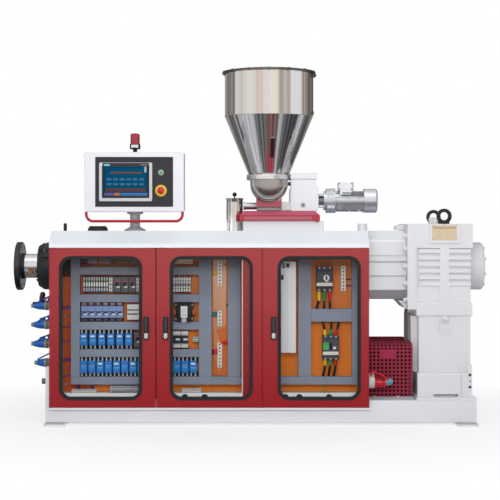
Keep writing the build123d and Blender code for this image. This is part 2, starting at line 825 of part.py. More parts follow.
def make_devices():
    """Modules, breakers, relays and terminals on the mounting plate, seen through the windows."""
    back = plate_front_y
    size = (module_width, module_height, module_depth)
    modules = device_row(rail_start, wide_module_pitch, 6, *size, row_centre(1))
    modules += device_row(rail_start, module_pitch, 8, *size, row_centre(0))
    modules += device_row(second_rail_start, module_pitch, 3, *size, row_centre(0))
    parts["power_modules"] = Compound(modules)

    relay = (relay_width, device_height, relay_depth)
    breaker = (breaker_width, device_height, breaker_depth)
    slim = (slim_module_width, slim_module_height, relay_depth)
    relay_start = rail_start + relay_lead
    breaker_start = relay_start + 10 * relay_pitch + relay_block_width
    slim_start = rail_start + slim_lead
    four_pole_start = slim_start + 6 * slim_pitch + four_pole_lead
    rail = device_row(relay_start, relay_pitch, 10, *relay, row_centre(3))
    rail += device_row(breaker_start, breaker_pitch, 3, *breaker, row_centre(3))
    rail += device_row(slim_start, slim_pitch, 6, *slim, row_centre(2))
    rail += device_row(four_pole_start, 0, 1, four_pole_width, device_height, breaker_depth, row_centre(2))
    rail += device_row(rail_start + 6 * wide_module_pitch + duct_clearance, 0, 1, *breaker, row_centre(1))
    rail += device_row(second_rail_start, relay_pitch, 7, *relay, row_centre(3))
    rail += device_row(second_rail_start, contactor_pitch, 2, breaker_width, device_height, module_depth,
                       row_centre(1))
    parts["rail_devices"] = Compound(rail)

    depth = terminal_depth
    tall = top_terminal_height
    low = bottom_terminal_height
    top_z = up(top_strip_rise)
    bottom_z = up(bottom_strip_rise)
    second_start = second_rail_start + contactor_pitch
    strips = device_row(rail_start, 0, 1, top_terminal_width, tall, depth, top_z)
    strips += device_row(second_rail_start, 0, 1, relay_pitch * 8, tall, depth, top_z)
    strips += device_row(left_duct_offset, 0, 1, bottom_terminal_width, low, depth, bottom_z)
    strips += device_row(right_strip_offset, 0, 1, bottom_terminal_width, tall, depth, bottom_z)
    strips += device_row(second_start, 0, 1, short_strip_width, low, depth, bottom_z)
    strips += device_row(second_start + contactor_pitch, 0, 1, earth_block_width, low, depth, row_centre(1))
    x = at(middle_duct_offset) + duct_wide + copper_plate_width / 2
    half = earth_strip_width / 2
    heights = (long_strip_height, short_strip_height, long_strip_height)
    for rise, height in zip((upper_strip_rise, middle_strip_rise, lower_strip_rise), heights):
        z = up(rise)
        strips.append(block(x - half, x + half, back - earth_strip_depth, back - copper_thickness,
                            z - height / 2, z + height / 2))
    strips += device_row(neutral_strip_offset, 0, 1, earth_strip_width, long_strip_height, earth_strip_depth,
                         up(upper_breaker_rise))
    parts["terminal_strips"] = Compound(strips)

    mid = row_centre(2)
    x0 = at(second_rail_start + transformer_lead)
    x1 = x0 + transformer_width
    half = transformer_height / 2
    core = block(x0, x1, back - transformer_depth, back, mid - half, mid + half)
    core = fillet(core.edges().filter_by(Axis.Y), 10)
    core += block(x0 + transformer_step, x1 - transformer_step, back - transformer_depth - 8,
                  back - transformer_depth + 2, mid - half - 4, mid + half + 4)
    parts["transformer"] = core

    x0 = at(middle_duct_offset) + duct_wide + duct_clearance
    copper = block(x0, x0 + copper_plate_width, back - copper_thickness, back,
                   duct_bottom_z + duct_narrow + duct_clearance, duct_top_z)
    x1 = at(right_duct_offset - side_panel_gap)
    side_panel = block(x1 - side_panel_width, x1, back - side_panel_depth, back, up(side_panel_bottom_rise),
                       up(side_panel_top_rise))
    side_panel = fillet(side_panel.edges().filter_by(Axis.Z), 4)
    parts["inner_panels"] = Compound([copper, side_panel])


def make_moulded_breakers():
    """Two large breakers, the upper one with a rotary handle and the lower one with a toggle."""
    face = plate_front_y - moulded_breaker_depth
    height = moulded_breaker_height
    switches = []
    places = ((upper_breaker_offset, upper_breaker_rise), (lower_breaker_offset, lower_breaker_rise))
    for number, (offset, rise) in enumerate(places):
        x = at(offset)
        z = up(rise)
        body = block(x, x + moulded_breaker_width, face, plate_front_y, z - height / 2, z + height / 2)
        body = fillet(body.edges().group_by(Axis.Y)[0], 4)
        for i in range(2):
            cut_x = x + moulded_breaker_width * (i + 1) / 3
            for side in (-1, 1):
                end = z + side * height / 2
                body -= block(cut_x - 2, cut_x + 2, face - 1, plate_front_y - 10, end - 14, end + 14)
        mid = x + moulded_breaker_width / 2
        if number == 0:
            body += rod_y(24, face - 22, face, mid, z + 8)
        else:
            body += block(mid - 6, mid + 6, face - 20, face, z - 8, z + 12)
        switches.append(body)
    parts["moulded_breakers"] = Compound(switches)


def make_control_panel():
    """Box with a screen and buttons, a grab handle, a beacon and the swivel column."""
    z = panel_bottom_z + panel_height / 2
    back_y = panel_front_y + panel_depth
    x0 = panel_x - panel_width / 2
    box = block(x0, x0 + panel_width, panel_front_y, back_y, panel_bottom_z, panel_bottom_z + panel_height)
    box = fillet(box.edges().filter_by(Axis.Y), panel_corner)
    box = fillet(box.edges().group_by(Axis.Y)[0], 4)
    box -= block(panel_x - face_width / 2, panel_x + face_width / 2, panel_front_y - 1,
                 panel_front_y + face_sink, z - face_height / 2, z + face_height / 2)
    parts["control_panel_box"] = box

    face_y = panel_front_y + face_sink
    screen_x = panel_x - face_width / 2 + screen_margin + screen_width / 2
    screen = block(screen_x - screen_width / 2, screen_x + screen_width / 2, face_y - screen_proud, face_y,
                   z - screen_height / 2, z + screen_height / 2)
    screen = fillet(screen.edges().filter_by(Axis.Y), 6)
    screen -= block(screen_x - bezel_width / 2, screen_x + bezel_width / 2, face_y - screen_proud - 1,
                    face_y - screen_proud + 4, z - bezel_height / 2 + bezel_shift,
                    z + bezel_height / 2 + bezel_shift)
    parts["operator_screen"] = screen

    button_x = panel_x + face_width / 2 - button_margin
    lamp = rod_y(lamp_radius, face_y - 14, face_y, button_x, z + lamp_rise)
    estop = rod_y(estop_ring_radius, face_y - 8, face_y, button_x, z - estop_drop)
    estop += rod_y(mushroom_radius * 0.6, face_y - estop_height + 10, face_y - 8, button_x, z - estop_drop)
    estop += rod_y(mushroom_radius, face_y - estop_height, face_y - estop_height + 16, button_x,
                   z - estop_drop)
    parts["panel_buttons"] = Compound([lamp, estop])

    half = panel_width / 2 - panel_handle_inset
    y = panel_front_y + panel_handle_back
    low = panel_bottom_z - panel_handle_drop
    path = FilletPolyline((panel_x - half, y, panel_bottom_z), (panel_x - half, y, low),
                          (panel_x + half, y, low), (panel_x + half, y, panel_bottom_z),
                          radius=panel_handle_bend)
    start = Plane(origin=(panel_x - half, y, panel_bottom_z), z_dir=(0, 0, -1))
    parts["panel_handle"] = sweep(start * Circle(panel_handle_radius), path)

    top = panel_bottom_z + panel_height
    r = beacon_radius
    base_z = top + beacon_stem_height
    lens_z = base_z + beacon_base_height
    end_z = lens_z + beacon_lens_height
    profile = [(0, top), (beacon_stem_radius, top), (beacon_stem_radius, base_z), (r, base_z), (r, lens_z),
               (r - 3, lens_z), (r - 3, end_z - 12), (r - 10, end_z), (0, end_z)]
    parts["beacon"] = turned(profile, panel_x, column_y)

    low = cover_top_z
    under = panel_bottom_z - swivel_clearance
    flange_z = under - column_flange_thickness
    profile = [(0, low), (column_foot_radius, low), (column_foot_radius, low + 8),
               (column_radius + 6, low + 22), (column_radius, low + column_foot_height),
               (column_radius, flange_z - 6), (column_flange_radius, flange_z),
               (column_flange_radius, under), (0, under)]
    parts["panel_column"] = turned(profile, panel_x, column_y)


def make_cover_fittings():
    """A low black dome and an upright pin on the top cover, left of the control panel."""
    x = cabinet_x + dome_from_cabinet
    y = door_front_y + dome_back
    profile = [(0, cover_top_z), (dome_radius, cover_top_z), (dome_radius, cover_top_z + dome_height * 0.4),
               (dome_radius * 0.8, cover_top_z + dome_height), (0, cover_top_z + dome_height)]
    dome = turned(profile, x, y)
    pin = rod_z(pin_radius, cover_top_z, cover_top_z + pin_height, cabinet_x + pin_from_cabinet, y)
    parts["cover_fittings"] = Compound([dome, pin])


def make_hopper():
    """Cylinder and cone in thin sheet with a rolled rim, and the lid."""
    bottom = hopper_shoulder_z
    t = hopper_wall
    r = hopper_radius
    o = hopper_outlet_radius
    profile = [(r, hopper_top_z), (r, bottom), (o, hopper_outlet_z), (o - t, hopper_outlet_z),
               (r - t, bottom + 2), (r - t, hopper_top_z)]
    shell = turned(profile, hopper_x, 0)
    rim_z = hopper_top_z - hopper_rim_height
    rim_radius = r + hopper_rim_width
    rim = [(r - 0.1, rim_z), (rim_radius, rim_z), (rim_radius, hopper_top_z), (r - 0.1, hopper_top_z)]
    shell += turned(rim, hopper_x, 0)
    parts["hopper"] = shell


def make_lids():
    """The flat lid of the hopper and the lid of the chute with its ball knob."""
    lid_radius = hopper_radius + hopper_rim_width
    lid = rod_z(lid_radius, hopper_top_z, hopper_top_z + hopper_lid_thickness, hopper_x, 0)
    hopper_lid = fillet(lid.edges().sort_by(Axis.Z)[-1], 2)

    x = hopper_x - chute_shift
    lid = rod_z(chute_lid_radius, chute_top_z, chute_top_z + chute_lid_thickness, x, 0)
    lid = fillet(lid.edges().sort_by(Axis.Z)[-1], 4)
    knob_z = chute_top_z + chute_lid_thickness
    lid += rod_z(chute_knob_radius * 0.6, knob_z - 1, knob_z + chute_knob_stem, x, 0)
    lid += Pos(x, 0, knob_z + chute_knob_stem + chute_knob_radius - 3) * Sphere(chute_knob_radius)
    parts["lids"] = Compound([hopper_lid, lid])


def make_feeder():
    """Feeder body under the hopper, its screw tube, chute, tray, housing and gearmotor."""
    flange_z = hopper_outlet_z - feeder_flange_height
    body_bottom = feeder_body_z
    r = feeder_body_radius
    centre_z = body_bottom + r
    tray_bottom = tray_bottom_z
    tray_top = tray_top_z

    flange = rod_z(feeder_flange_radius, flange_z, hopper_outlet_z, hopper_x, 0)
    body = rod_y(r, -r, r, hopper_x, centre_z)
    body -= block(hopper_x - r - 1, hopper_x + r + 1, -r - 1, r + 1, centre_z, centre_z + r + 1)
    body += block(hopper_x - r, hopper_x + r, -r, r, centre_z, flange_z)
    ring = rod_y(r + 0.01, -r - 10, -r, hopper_x, centre_z)
    ring -= rod_y(r - 26, -r - 11, -r + 1, hopper_x, centre_z)
    ring -= block(hopper_x - r - 1, hopper_x + r + 1, -r - 11, -r + 1, centre_z, centre_z + r + 1)
    body += ring
    body = body + flange
    body -= rod_z(hopper_outlet_radius - hopper_wall - 16, centre_z, hopper_outlet_z + 1, hopper_x, 0)
    parts["feeder_body"] = body

    half = saddle_width / 2
    trough = block(hopper_x - half, hopper_x + half, -block_depth / 2, block_depth / 2, tray_top,
                   body_bottom + saddle_seat)
    cradle = block(hopper_x - half, hopper_x + half, -block_depth / 2 - 12, -block_depth / 2,
                   body_bottom - saddle_height / 2, body_bottom + saddle_height / 2)
    saddle = trough + cradle
    saddle -= rod_y(r + seat_clearance, -r - 20, r, hopper_x, centre_z)
    left_x = hopper_x - chute_shift + chute_radius
    saddle += rod_x(feeder_tube_radius, left_x + seat_clearance, hopper_x - half, 0, feeder_screw_z)
    parts["feeder_saddle"] = saddle

    x = hopper_x - chute_shift
    wall = chute_wall
    flare_z = chute_top_z - chute_flare_height
    rim = chute_radius + chute_flare
    profile = [(chute_radius, cover_top_z), (chute_radius, flare_z), (rim, chute_top_z),
               (rim - wall, chute_top_z), (chute_radius - wall, flare_z), (chute_radius - wall, cover_top_z)]
    parts["feed_chute"] = turned(profile, x, 0)
    ped_x0 = x + chute_radius + pedestal_from_chute
    ped_x1 = ped_x0 + pedestal_length
    ped = block(ped_x0, ped_x1, -pedestal_depth / 2, pedestal_depth / 2, cover_top_z, tray_bottom)
    parts["feeder_pedestal"] = fillet(ped.edges().filter_by(Axis.Z), 6)

    tray_x0 = ped_x0 - tray_overhang
    tray_x1 = tray_x0 + tray_length
    tray_half = pedestal_depth / 2 + tray_overhang
    rim = block(tray_x0, tray_x1, -tray_half, tray_half, tray_bottom, tray_bottom + tray_rim_height)
    low = Plane.XY.offset(tray_bottom + tray_rim_height) * Rectangle(tray_x1 - tray_x0, 2 * tray_half)
    high = Plane.XY.offset(tray_top) * Rectangle(tray_x1 - tray_x0 - 2 * tray_shoulder,
                                                 2 * (tray_half - tray_shoulder))
    shoulder = Pos((tray_x0 + tray_x1) / 2, 0, 0) * loft([low.face(), high.face()])
    tray = rim + shoulder
    tray -= rod_z(chute_radius + chute_clearance, tray_bottom - 1, tray_top + 1, x, 0)
    parts["feeder_tray"] = tray

    h_x0 = hopper_x + r + housing_from_body
    h_x1 = h_x0 + feeder_housing_length
    h_half = feeder_housing_depth / 2
    top = tray_top + feeder_housing_height
    c = feeder_housing_chamfer
    outline = Plane.XZ * Polyline((h_x0, tray_top), (h_x1, tray_top), (h_x1, top - c), (h_x1 - c, top),
                                  (h_x0 + c, top), (h_x0, top - c), close=True)
    housing = Pos(0, -h_half, 0) * extrude(make_face(outline), 2 * h_half, dir=(0, 1, 0))
    housing += block(h_x1, h_x1 + feeder_plate_thickness, -h_half, h_half, tray_top,
                     tray_top + feeder_plate_height)
    housing += rod_x(feeder_tube_radius + 2, hopper_x + half + seat_clearance, h_x0, 0, feeder_screw_z)
    parts["feeder_housing"] = housing

    m_x = h_x1 + feeder_plate_thickness
    flange_x = m_x + motor_neck_length
    frame_x = flange_x + motor_flange_length
    cowl_x = frame_x + motor_length
    motor = rod_x(motor_neck_radius, m_x, flange_x, 0, motor_axis_z)
    gear = rod_x(motor_flange_radius, flange_x, frame_x, 0, motor_axis_z)
    motor += fillet(gear.edges().filter_by(GeomType.CIRCLE), 6)
    motor += rod_x(motor_radius, frame_x, cowl_x, 0, motor_axis_z)
    for i in range(motor_fin_count):
        angle = 360 / motor_fin_count * i
        if 45 < angle < 135:
            continue
        fin = Pos((frame_x + cowl_x) / 2, 0, motor_axis_z) * Rot(90 - angle, 0, 0) * Pos(
            0, 0, motor_radius + motor_fin_depth / 2 - 2) * Box(motor_length - 4, 4, motor_fin_depth + 4)
        motor += fin
    cowl = rod_x(motor_cowl_radius, cowl_x, cowl_x + motor_cowl_length, 0, motor_axis_z)
    motor += fillet(cowl.edges().sort_by(Axis.X)[-1], 14)
    box_x = frame_x + 22
    box_z = motor_axis_z + motor_radius - 8
    box = block(box_x, box_x + terminal_box_length, -terminal_box_width / 2, terminal_box_width / 2, box_z,
                box_z + terminal_box_height)
    motor += fillet(box.edges().filter_by(Axis.Z), 10)
    parts["feeder_motor"] = motor


def make_gearbox():
    """Distribution case, ribbed gearbox housing, lower housing, end cap and lifting eyes."""
    case = case_prism(case_half_width, cover_end_x, plate_x)
    for rise in (20, -70):
        z = screw_axis_z + case_rise + rise
        for side in (-1, 1):
            near = side * (case_half_width + 1)
            far = side * (case_half_width - case_seam)
            case -= block(cover_end_x + 6, plate_x - 6, min(near, far), max(near, far), z - 1.5, z + 1.5)
    parts["distribution_case"] = case

    half = gearbox_half_depth
    x0 = gearbox_x
    x1 = gearbox_end_x
    plate = block(plate_x, x0, -half - 4, half + 4, gearbox_plate_bottom_z, gearbox_top_z)
    head_z = gearbox_top_z - head_height
    rib_z = head_z - rib_zone_height
    skirt_z = rib_z - skirt_height
    head = block(x0, x1, -half, half, head_z, gearbox_top_z)
    head = fillet(head.edges().filter_by(Axis.Y), 8)
    inset = housing_end_inset
    core = block(x0, x1 - inset, -half + rib_depth, half - rib_depth, skirt_z, head_z + 10)
    upper = plate + head + core
    skirt = block(x0, x1 - inset, -half + rib_depth / 2, half - rib_depth / 2, skirt_z, rib_z + 6)
    upper += skirt
    step = rib_zone_height / rib_count
    for side in (-1, 1):
        near = side * half
        far = side * (half - rib_depth - 1)
        y0 = min(near, far)
        y1 = max(near, far)
        for i in range(rib_count):
            z = rib_z + (i + 0.5) * step
            rib = block(x0 + rib_start, x1 - inset, y0, y1, z - rib_thickness / 2, z + rib_thickness / 2)
            outer_face = rib.faces().sort_by(Axis.Y)[0 if side < 0 else -1]
            upper += fillet(outer_face.edges().filter_by(Axis.X), 5)
        mid = (x0 + x1) / 2
        upper += block(mid - centre_rib_width / 2, mid + centre_rib_width / 2, y0, y1, skirt_z, head_z + 1)
        upper -= block(mid - 92, mid + 92, side * half - 4, side * half + 4, head_z + 50, head_z + 142)
    gusset_top_z = gearbox_plate_bottom_z + gusset_height
    gusset = Plane.XZ * Polyline((plate_x, gearbox_plate_bottom_z), (plate_x, gusset_top_z),
                                 (plate_x - gusset_reach, gusset_top_z), close=True)
    upper += Pos(0, -gusset_width / 2, 0) * extrude(make_face(gusset), gusset_width, dir=(0, 1, 0))
    lug_top = gearbox_top_z - lug_drop
    lug = block(plate_x - lug_length, plate_x + 1, -lug_width / 2, lug_width / 2, lug_top - lug_height,
                lug_top)
    upper += fillet(lug.edges().filter_by(Axis.Z).group_by(Axis.X)[0], 18)
    parts["gearbox_housing"] = upper

    block_bottom = skirt_z - lower_block_height
    proud = lower_block_proud
    lower = block(x0, x1 - 4, -half - proud, half + proud, block_bottom, skirt_z)
    lower = fillet(lower.edges().filter_by(Axis.X), 6)
    foot_bottom = base_top_z + gearbox_pad_thickness
    foot_top = foot_bottom + foot_section_height
    lower += block(x0 + lower_inset, x1 - lower_inset, -half, half, foot_top - 1, block_bottom + 1)
    foot_half = half + foot_section_proud
    foot = block(x0, x1 - 2 * lower_inset, -foot_half, foot_half, foot_bottom, foot_top)
    foot = fillet(foot.edges().group_by(Axis.Z)[-1], 12)
    lower += foot
    mid = (x0 + x1) / 2
    for side in (-1, 1):
        lower -= block(mid - foot_slot_width / 2, mid + foot_slot_width / 2, side * foot_half - 30,
                       side * foot_half + 30, foot_bottom - 1, foot_bottom + foot_slot_height)
        lower -= block(mid - 32, mid + 32, side * half - 8, side * half + 8, block_bottom - 90,
                       block_bottom - 6)
        near = side * input_rib_half
        far = side * (input_rib_half - input_rib_width)
        lower += block(x0 - input_flange_thickness, x0 + lower_inset + 1, min(near, far), max(near, far),
                       foot_top - 4, block_bottom - 4)
    lower += rod_x(input_flange_radius, x0 - input_flange_thickness, x0 + lower_inset + 1, 0, main_motor_z)
    parts["gearbox_lower_housing"] = lower

    bolt_x = x1 + end_cap_length
    x2 = bolt_x - end_cap_bolt_head
    cap = rod_x(end_cap_radius, x1, x2, 0, screw_axis_z)
    cap = fillet(cap.edges().sort_by(Axis.X)[-1], end_cap_rounding)
    for i in range(end_cap_bolt_count):
        turn = radians(360 * (i + 0.5) / end_cap_bolt_count)
        cap += rod_x(end_cap_bolt_radius, x2 - 2, bolt_x, end_cap_bolt_circle * cos(turn),
                     screw_axis_z + end_cap_bolt_circle * sin(turn))
    parts["gearbox_end_cap"] = cap

    eyes = []
    for side in (-1, 1):
        y = side * eye_spread / 2
        top = gearbox_top_z + eye_collar_height
        collar = rod_z(eye_collar_radius, gearbox_top_z, top, mid, y)
        ring_z = top + eye_outer_radius - 12
        ring = rod_y(eye_outer_radius, y - eye_thickness / 2, y + eye_thickness / 2, mid, ring_z)
        ring = fillet(ring.edges().filter_by(GeomType.CIRCLE), 7)
        eye = collar + ring
        eye -= rod_y(eye_hole_radius, y - eye_thickness, y + eye_thickness, mid, ring_z)
        eyes.append(eye)
    parts["lifting_eyes"] = Compound(eyes)

    x2 = x1 - 2 * lower_inset + bracket_overlap
    y = -half - foot_section_proud
    bracket = block(x2 - bracket_width, x2, y - bracket_sheet - seat_clearance, y - seat_clearance,
                    foot_bottom, foot_bottom + bracket_height)
    bracket += block(x2 - bracket_sheet, x2, y - seat_clearance, y + bracket_leg, foot_bottom,
                     foot_bottom + bracket_height)
    for i in range(3):
        bracket -= rod_y(bracket_hole_radius, y - bracket_sheet - 2, y + 2, x2 - bracket_width / 2,
                         foot_bottom + bracket_first_hole + i * bracket_hole_pitch)
    parts["angle_bracket"] = bracket

    breather = rod_z(breather_radius, gearbox_top_z, gearbox_top_z + breather_height, mid - 40, 0)
    breather = fillet(breather.edges().sort_by(Axis.Z)[-1], 8)
    vent_x = cabinet_end_x - vent_from_end
    vent = rod_z(vent_radius, cover_top_z, cover_top_z + vent_height, vent_x, -vent_front)
    parts["breather_caps"] = Compound([breather, fillet(vent.edges().sort_by(Axis.Z)[-1], 8)])


def make_drive():
    """Main motor under the barrel, its perforated guard and the mains plug."""
    x0 = cabinet_end_x + guard_end_gap
    x1 = gearbox_x - input_flange_thickness - duct_clearance
    d = guard_half_depth
    r = guard_shoulder
    t = guard_sheet

    def arch(offset):
        """The guard's outline drawn in by an offset."""
        e = d - offset
        top = guard_top_z - offset
        q = r - offset
        lines = Polyline((-e + q, top), (e - q, top))
        lines += Polyline((e, top - q), (e, base_top_z), (-e, base_top_z), (-e, top - q))
        lines += RadiusArc((-e, top - q), (-e + q, top), q)
        lines += RadiusArc((e - q, top), (e, top - q), q)
        return make_face(Plane.YZ.offset(x0) * lines)

    guard = extrude(arch(0), x1 - x0, dir=(1, 0, 0)) - extrude(arch(t), x1 - x0, dir=(1, 0, 0))
    parts["motor_guard"] = guard

    m_x1 = gearbox_x - input_flange_thickness
    m_x0 = m_x1 - main_motor_length
    body = rod_x(main_motor_radius, m_x0 + 60, m_x1 - 40, 0, main_motor_z)
    body += rod_x(input_flange_radius, m_x1 - 40, m_x1, 0, main_motor_z)
    cowl = rod_x(main_motor_radius + motor_cowl_step, m_x0, m_x0 + 80, 0, main_motor_z)
    body += fillet(cowl.edges().sort_by(Axis.X)[0], 20)
    foot_top = main_motor_z - main_motor_radius + 20
    for side in (-1, 1):
        y = side * 110
        body += block(m_x0 + 130, m_x1 - 110, y - 34, y + 34, base_top_z, foot_top)
    parts["main_motor"] = body

    y = door_front_y + power_plug_back
    half = inlet_size / 2
    socket = block(cabinet_end_x, cabinet_end_x + inlet_depth, y - half + 10, y + half - 10, inlet_z - half,
                   inlet_z + half)
    socket = fillet(socket.edges().filter_by(Axis.X), 10)
    end_x = cabinet_end_x + inlet_depth
    gland_x = end_x + power_plug_length - 30
    socket += rod_x(power_plug_radius + 6, end_x, end_x + 40, y, inlet_z)
    socket += rod_x(power_plug_radius - 6, end_x + 40, gland_x, y, inlet_z)
    socket += rod_x(power_plug_radius - 16, gland_x, gland_x + 30, y, inlet_z)
    parts["power_plug"] = socket


make_base()
make_cabinet()
make_top_cover()
make_rear_panels()
make_barrel()
make_heater_plugs()
make_doors()
make_ducts()
make_devices()
make_moulded_breakers()
make_control_panel()
make_cover_fittings()
make_hopper()
make_lids()
make_feeder()
make_gearbox()
make_drive()

os.makedirs("parts", exist_ok=True)
for name, shape in parts.items():
    export_step(shape, f"parts/{name}.step")
    box = shape.bounding_box()
    print(f"{name:26s} x {box.min.X:8.1f} {box.max.X:8.1f}  y {box.min.Y:7.1f} {box.max.Y:7.1f}  "
          f"z {box.min.Z:7.1f} {box.max.Z:7.1f}")
print(len(parts), "nodes")
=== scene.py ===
# %% [markdown]
# # A plastic extruder, dressed for its portrait
#
# The machine is a conical twin-screw extruder: powder goes into the hopper, two screws melt it
# in the barrel, and it leaves at the die flange on the left. The packed CAD model gives every
# piece its place and its size. This notebook gives each of them its finish, and adds what a
# solid model leaves out: the wiring behind the windows, the punched motor guard, bolts, plugs
# and the rolled rim of the hopper. All lengths are written in millimetres, as on a drawing,
# and turned into Blender's metres in one place.

# %% Load the frame
import math

import bmesh
import bpy
import numpy as np
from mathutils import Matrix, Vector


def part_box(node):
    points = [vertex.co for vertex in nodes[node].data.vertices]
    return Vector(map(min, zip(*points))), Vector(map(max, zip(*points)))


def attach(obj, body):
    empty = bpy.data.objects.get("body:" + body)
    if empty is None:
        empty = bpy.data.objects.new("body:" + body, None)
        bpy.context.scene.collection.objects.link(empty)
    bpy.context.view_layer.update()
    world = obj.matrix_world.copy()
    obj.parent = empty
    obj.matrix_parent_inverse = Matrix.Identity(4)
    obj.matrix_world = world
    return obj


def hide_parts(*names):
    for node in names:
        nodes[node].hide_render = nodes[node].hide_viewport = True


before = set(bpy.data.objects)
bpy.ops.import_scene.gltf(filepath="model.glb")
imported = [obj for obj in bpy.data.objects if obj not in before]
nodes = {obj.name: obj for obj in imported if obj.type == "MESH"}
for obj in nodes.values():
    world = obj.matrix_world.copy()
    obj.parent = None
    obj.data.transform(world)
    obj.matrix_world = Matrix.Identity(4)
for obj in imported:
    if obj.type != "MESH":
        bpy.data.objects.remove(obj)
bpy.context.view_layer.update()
print("nodes:", len(nodes))

# %% [markdown]
# ## Surfaces from arrays
#
# Each new piece starts as rows of points. A row is a ring or a strip, and neighbouring rows are
# joined with four-sided faces. Everything is worked out for all the points at once, which is
# quick, and the same few functions make a bolt, a cable and the hopper. A patch is a bundle of
# points, faces and one tint, and patches are cheap to copy to many places.

# %% Patches
class Patch:
    """Points in millimetres, faces as one long list of corners with their sizes, and tints."""

    def __init__(self, points, corners, sizes, tint=(1, 1, 1)):
        self.points = np.asarray(points, float).reshape(-1, 3)
        self.corners = np.asarray(corners, int).ravel()
        self.sizes = np.asarray(sizes, int).ravel()
        tint = np.asarray(tint, float)
        self.tint = np.broadcast_to(tint, (len(self.points), 3)) if tint.ndim == 1 else tint

    def tinted(self, tint):
        """The same patch in another colour."""
        return Patch(self.points, self.corners, self.sizes, tint)

    def moved(self, x=0, y=0, z=0):
        """The same patch further along."""
        return Patch(self.points + np.array([x, y, z], float), self.corners, self.sizes, self.tint)

    def warped(self, change):
        """The same patch with its points put through a function."""
        return Patch(change(self.points), self.corners, self.sizes, self.tint)


def joined(patches):
    """Several patches as one: points are stacked, and each patch's corner numbers are raised by
    the number of points before it."""
    patches = list(patches)
    counts = np.cumsum([0] + [len(p.points) for p in patches[:-1]])
    return Patch(
        np.concatenate([p.points for p in patches]),
        np.concatenate([p.corners + c for p, c in zip(patches, counts)]),
        np.concatenate([p.sizes for p in patches]),
        np.concatenate([p.tint for p in patches]),
    )


def repeated(patch, places):
    """A patch copied to each place: every place is added to every point in one sum."""
    places = np.asarray(places, float).reshape(-1, 3)
    n = len(patch.points)
    points = (patch.points[None] + places[:, None]).reshape(-1, 3)
    corners = (patch.corners[None] + n * np.arange(len(places))[:, None]).ravel()
    return Patch(points, corners, np.tile(patch.sizes, len(places)), np.tile(patch.tint, (len(places), 1)))


def skin(rows, ring=True, loop=False, tint=(1, 1, 1)):
    """Faces between rows of points, given as an array of rows by columns by xyz. ring closes each
    row on itself, and loop closes the last row to the first. Rings without a loop get a face over
    the first and over the last row."""
    rows = np.asarray(rows, float)
    r, c = rows.shape[:2]
    index = np.arange(r * c).reshape(r, c)
    down = np.roll(index, -1, 0) if loop else index[1:]
    here = index if loop else index[:-1]
    if not ring:
        a, b, d, e = here[:, :-1], here[:, 1:], down[:, 1:], down[:, :-1]
    else:
        a, b, d, e = here, np.roll(here, -1, 1), np.roll(down, -1, 1), down
    corners = [np.stack([a, b, d, e], -1).ravel()]
    sizes = [np.full(a.size, 4)]
    if ring and not loop:
        corners += [index[0][::-1], index[-1]]
        sizes.append([c, c])
    return Patch(rows.reshape(-1, 3), np.concatenate(corners), np.concatenate(sizes), tint)


print("patches ready")

# %% [markdown]
# ## A few shapes that everything is made of
#
# Machine parts are mostly turned, folded or drawn to length, so three ideas are enough: a
# profile turned about an axis, a section carried in a straight line with its edges softened, and
# a round section carried along a bent path. A softened edge matters more than it seems, because
# it catches a thin line of light, and no real edge is perfectly sharp.

# %% Turned shapes
def turned(profile, axis="z", at=(0, 0, 0), steps=48, tint=(1, 1, 1)):
    """A profile of (radius, height) pairs turned about an axis: each pair becomes a ring of points
    radius * (cos t, sin t) at that height. Profiles run so that the outside is on their right."""
    profile = np.maximum(np.asarray(profile, float), [0.02, -1e9])
    t = np.linspace(0, 2 * math.pi, steps, endpoint=False)
    radius, height = profile[:, 0:1], profile[:, 1:2]
    a, b = radius * np.cos(t), radius * np.sin(t)
    h = np.broadcast_to(height, a.shape)
    order = {"x": (h, a, b), "y": (b, h, a), "z": (a, b, h)}[axis]
    return skin(np.stack(order, -1) + np.asarray(at, float), tint=tint)


def lathe(profile, axis="z", at=(0, 0, 0), steps=48, tint=(1, 1, 1)):
    """A turned solid: the profile's first and last heights are carried in to the axis."""
    return turned([(0, profile[0][1]), *profile, (0, profile[-1][1])], axis, at, steps, tint)


def rod(radius, low, high, axis="z", at=(0, 0, 0), steps=48, tint=(1, 1, 1)):
    """A plain cylinder between two heights along its axis."""
    return lathe([(radius, low), (radius, high)], axis, at, steps, tint)


print("faces of a rod:", len(rod(5, 0, 10).sizes))

# %% Blocks and frames
def section(width, height, radius, corner=3):
    """A rounded rectangle about (0, 0): four quarter circles of the corner radius, joined."""
    radius = min(radius, width / 2 - 1e-6, height / 2 - 1e-6)
    t = np.linspace(0, math.pi / 2, corner)[None] + np.arange(4)[:, None] * math.pi / 2
    cx = np.array([1, -1, -1, 1])[:, None] * (width / 2 - radius)
    cz = np.array([1, 1, -1, -1])[:, None] * (height / 2 - radius)
    return np.stack([(cx + radius * np.cos(t)).ravel(), (cz + radius * np.sin(t)).ravel()], -1)


def block(x0, x1, y0, y1, z0, z1, soft=1.5, corner=2.0, tint=(1, 1, 1), steps=2):
    """A box between two corners that faces -Y. Its section is a rounded rectangle, and the rows
    near the front shrink by the soft edge, so the front has a small bevel all round."""
    soft = min(soft, (y1 - y0) / 2, (x1 - x0) / 2.2, (z1 - z0) / 2.2)
    w, h = x1 - x0, z1 - z0
    rows = []
    for depth, shrink in ((y1, 0.0), (y0 + soft, 0.0), (y0, soft)):
        s = section(w - 2 * shrink, h - 2 * shrink, max(corner - shrink, 0.2), steps)
        rows.append(np.stack([s[:, 0] + (x0 + x1) / 2, np.full(len(s), depth), s[:, 1] + (z0 + z1) / 2], -1))
    return skin(np.array(rows), tint=tint)


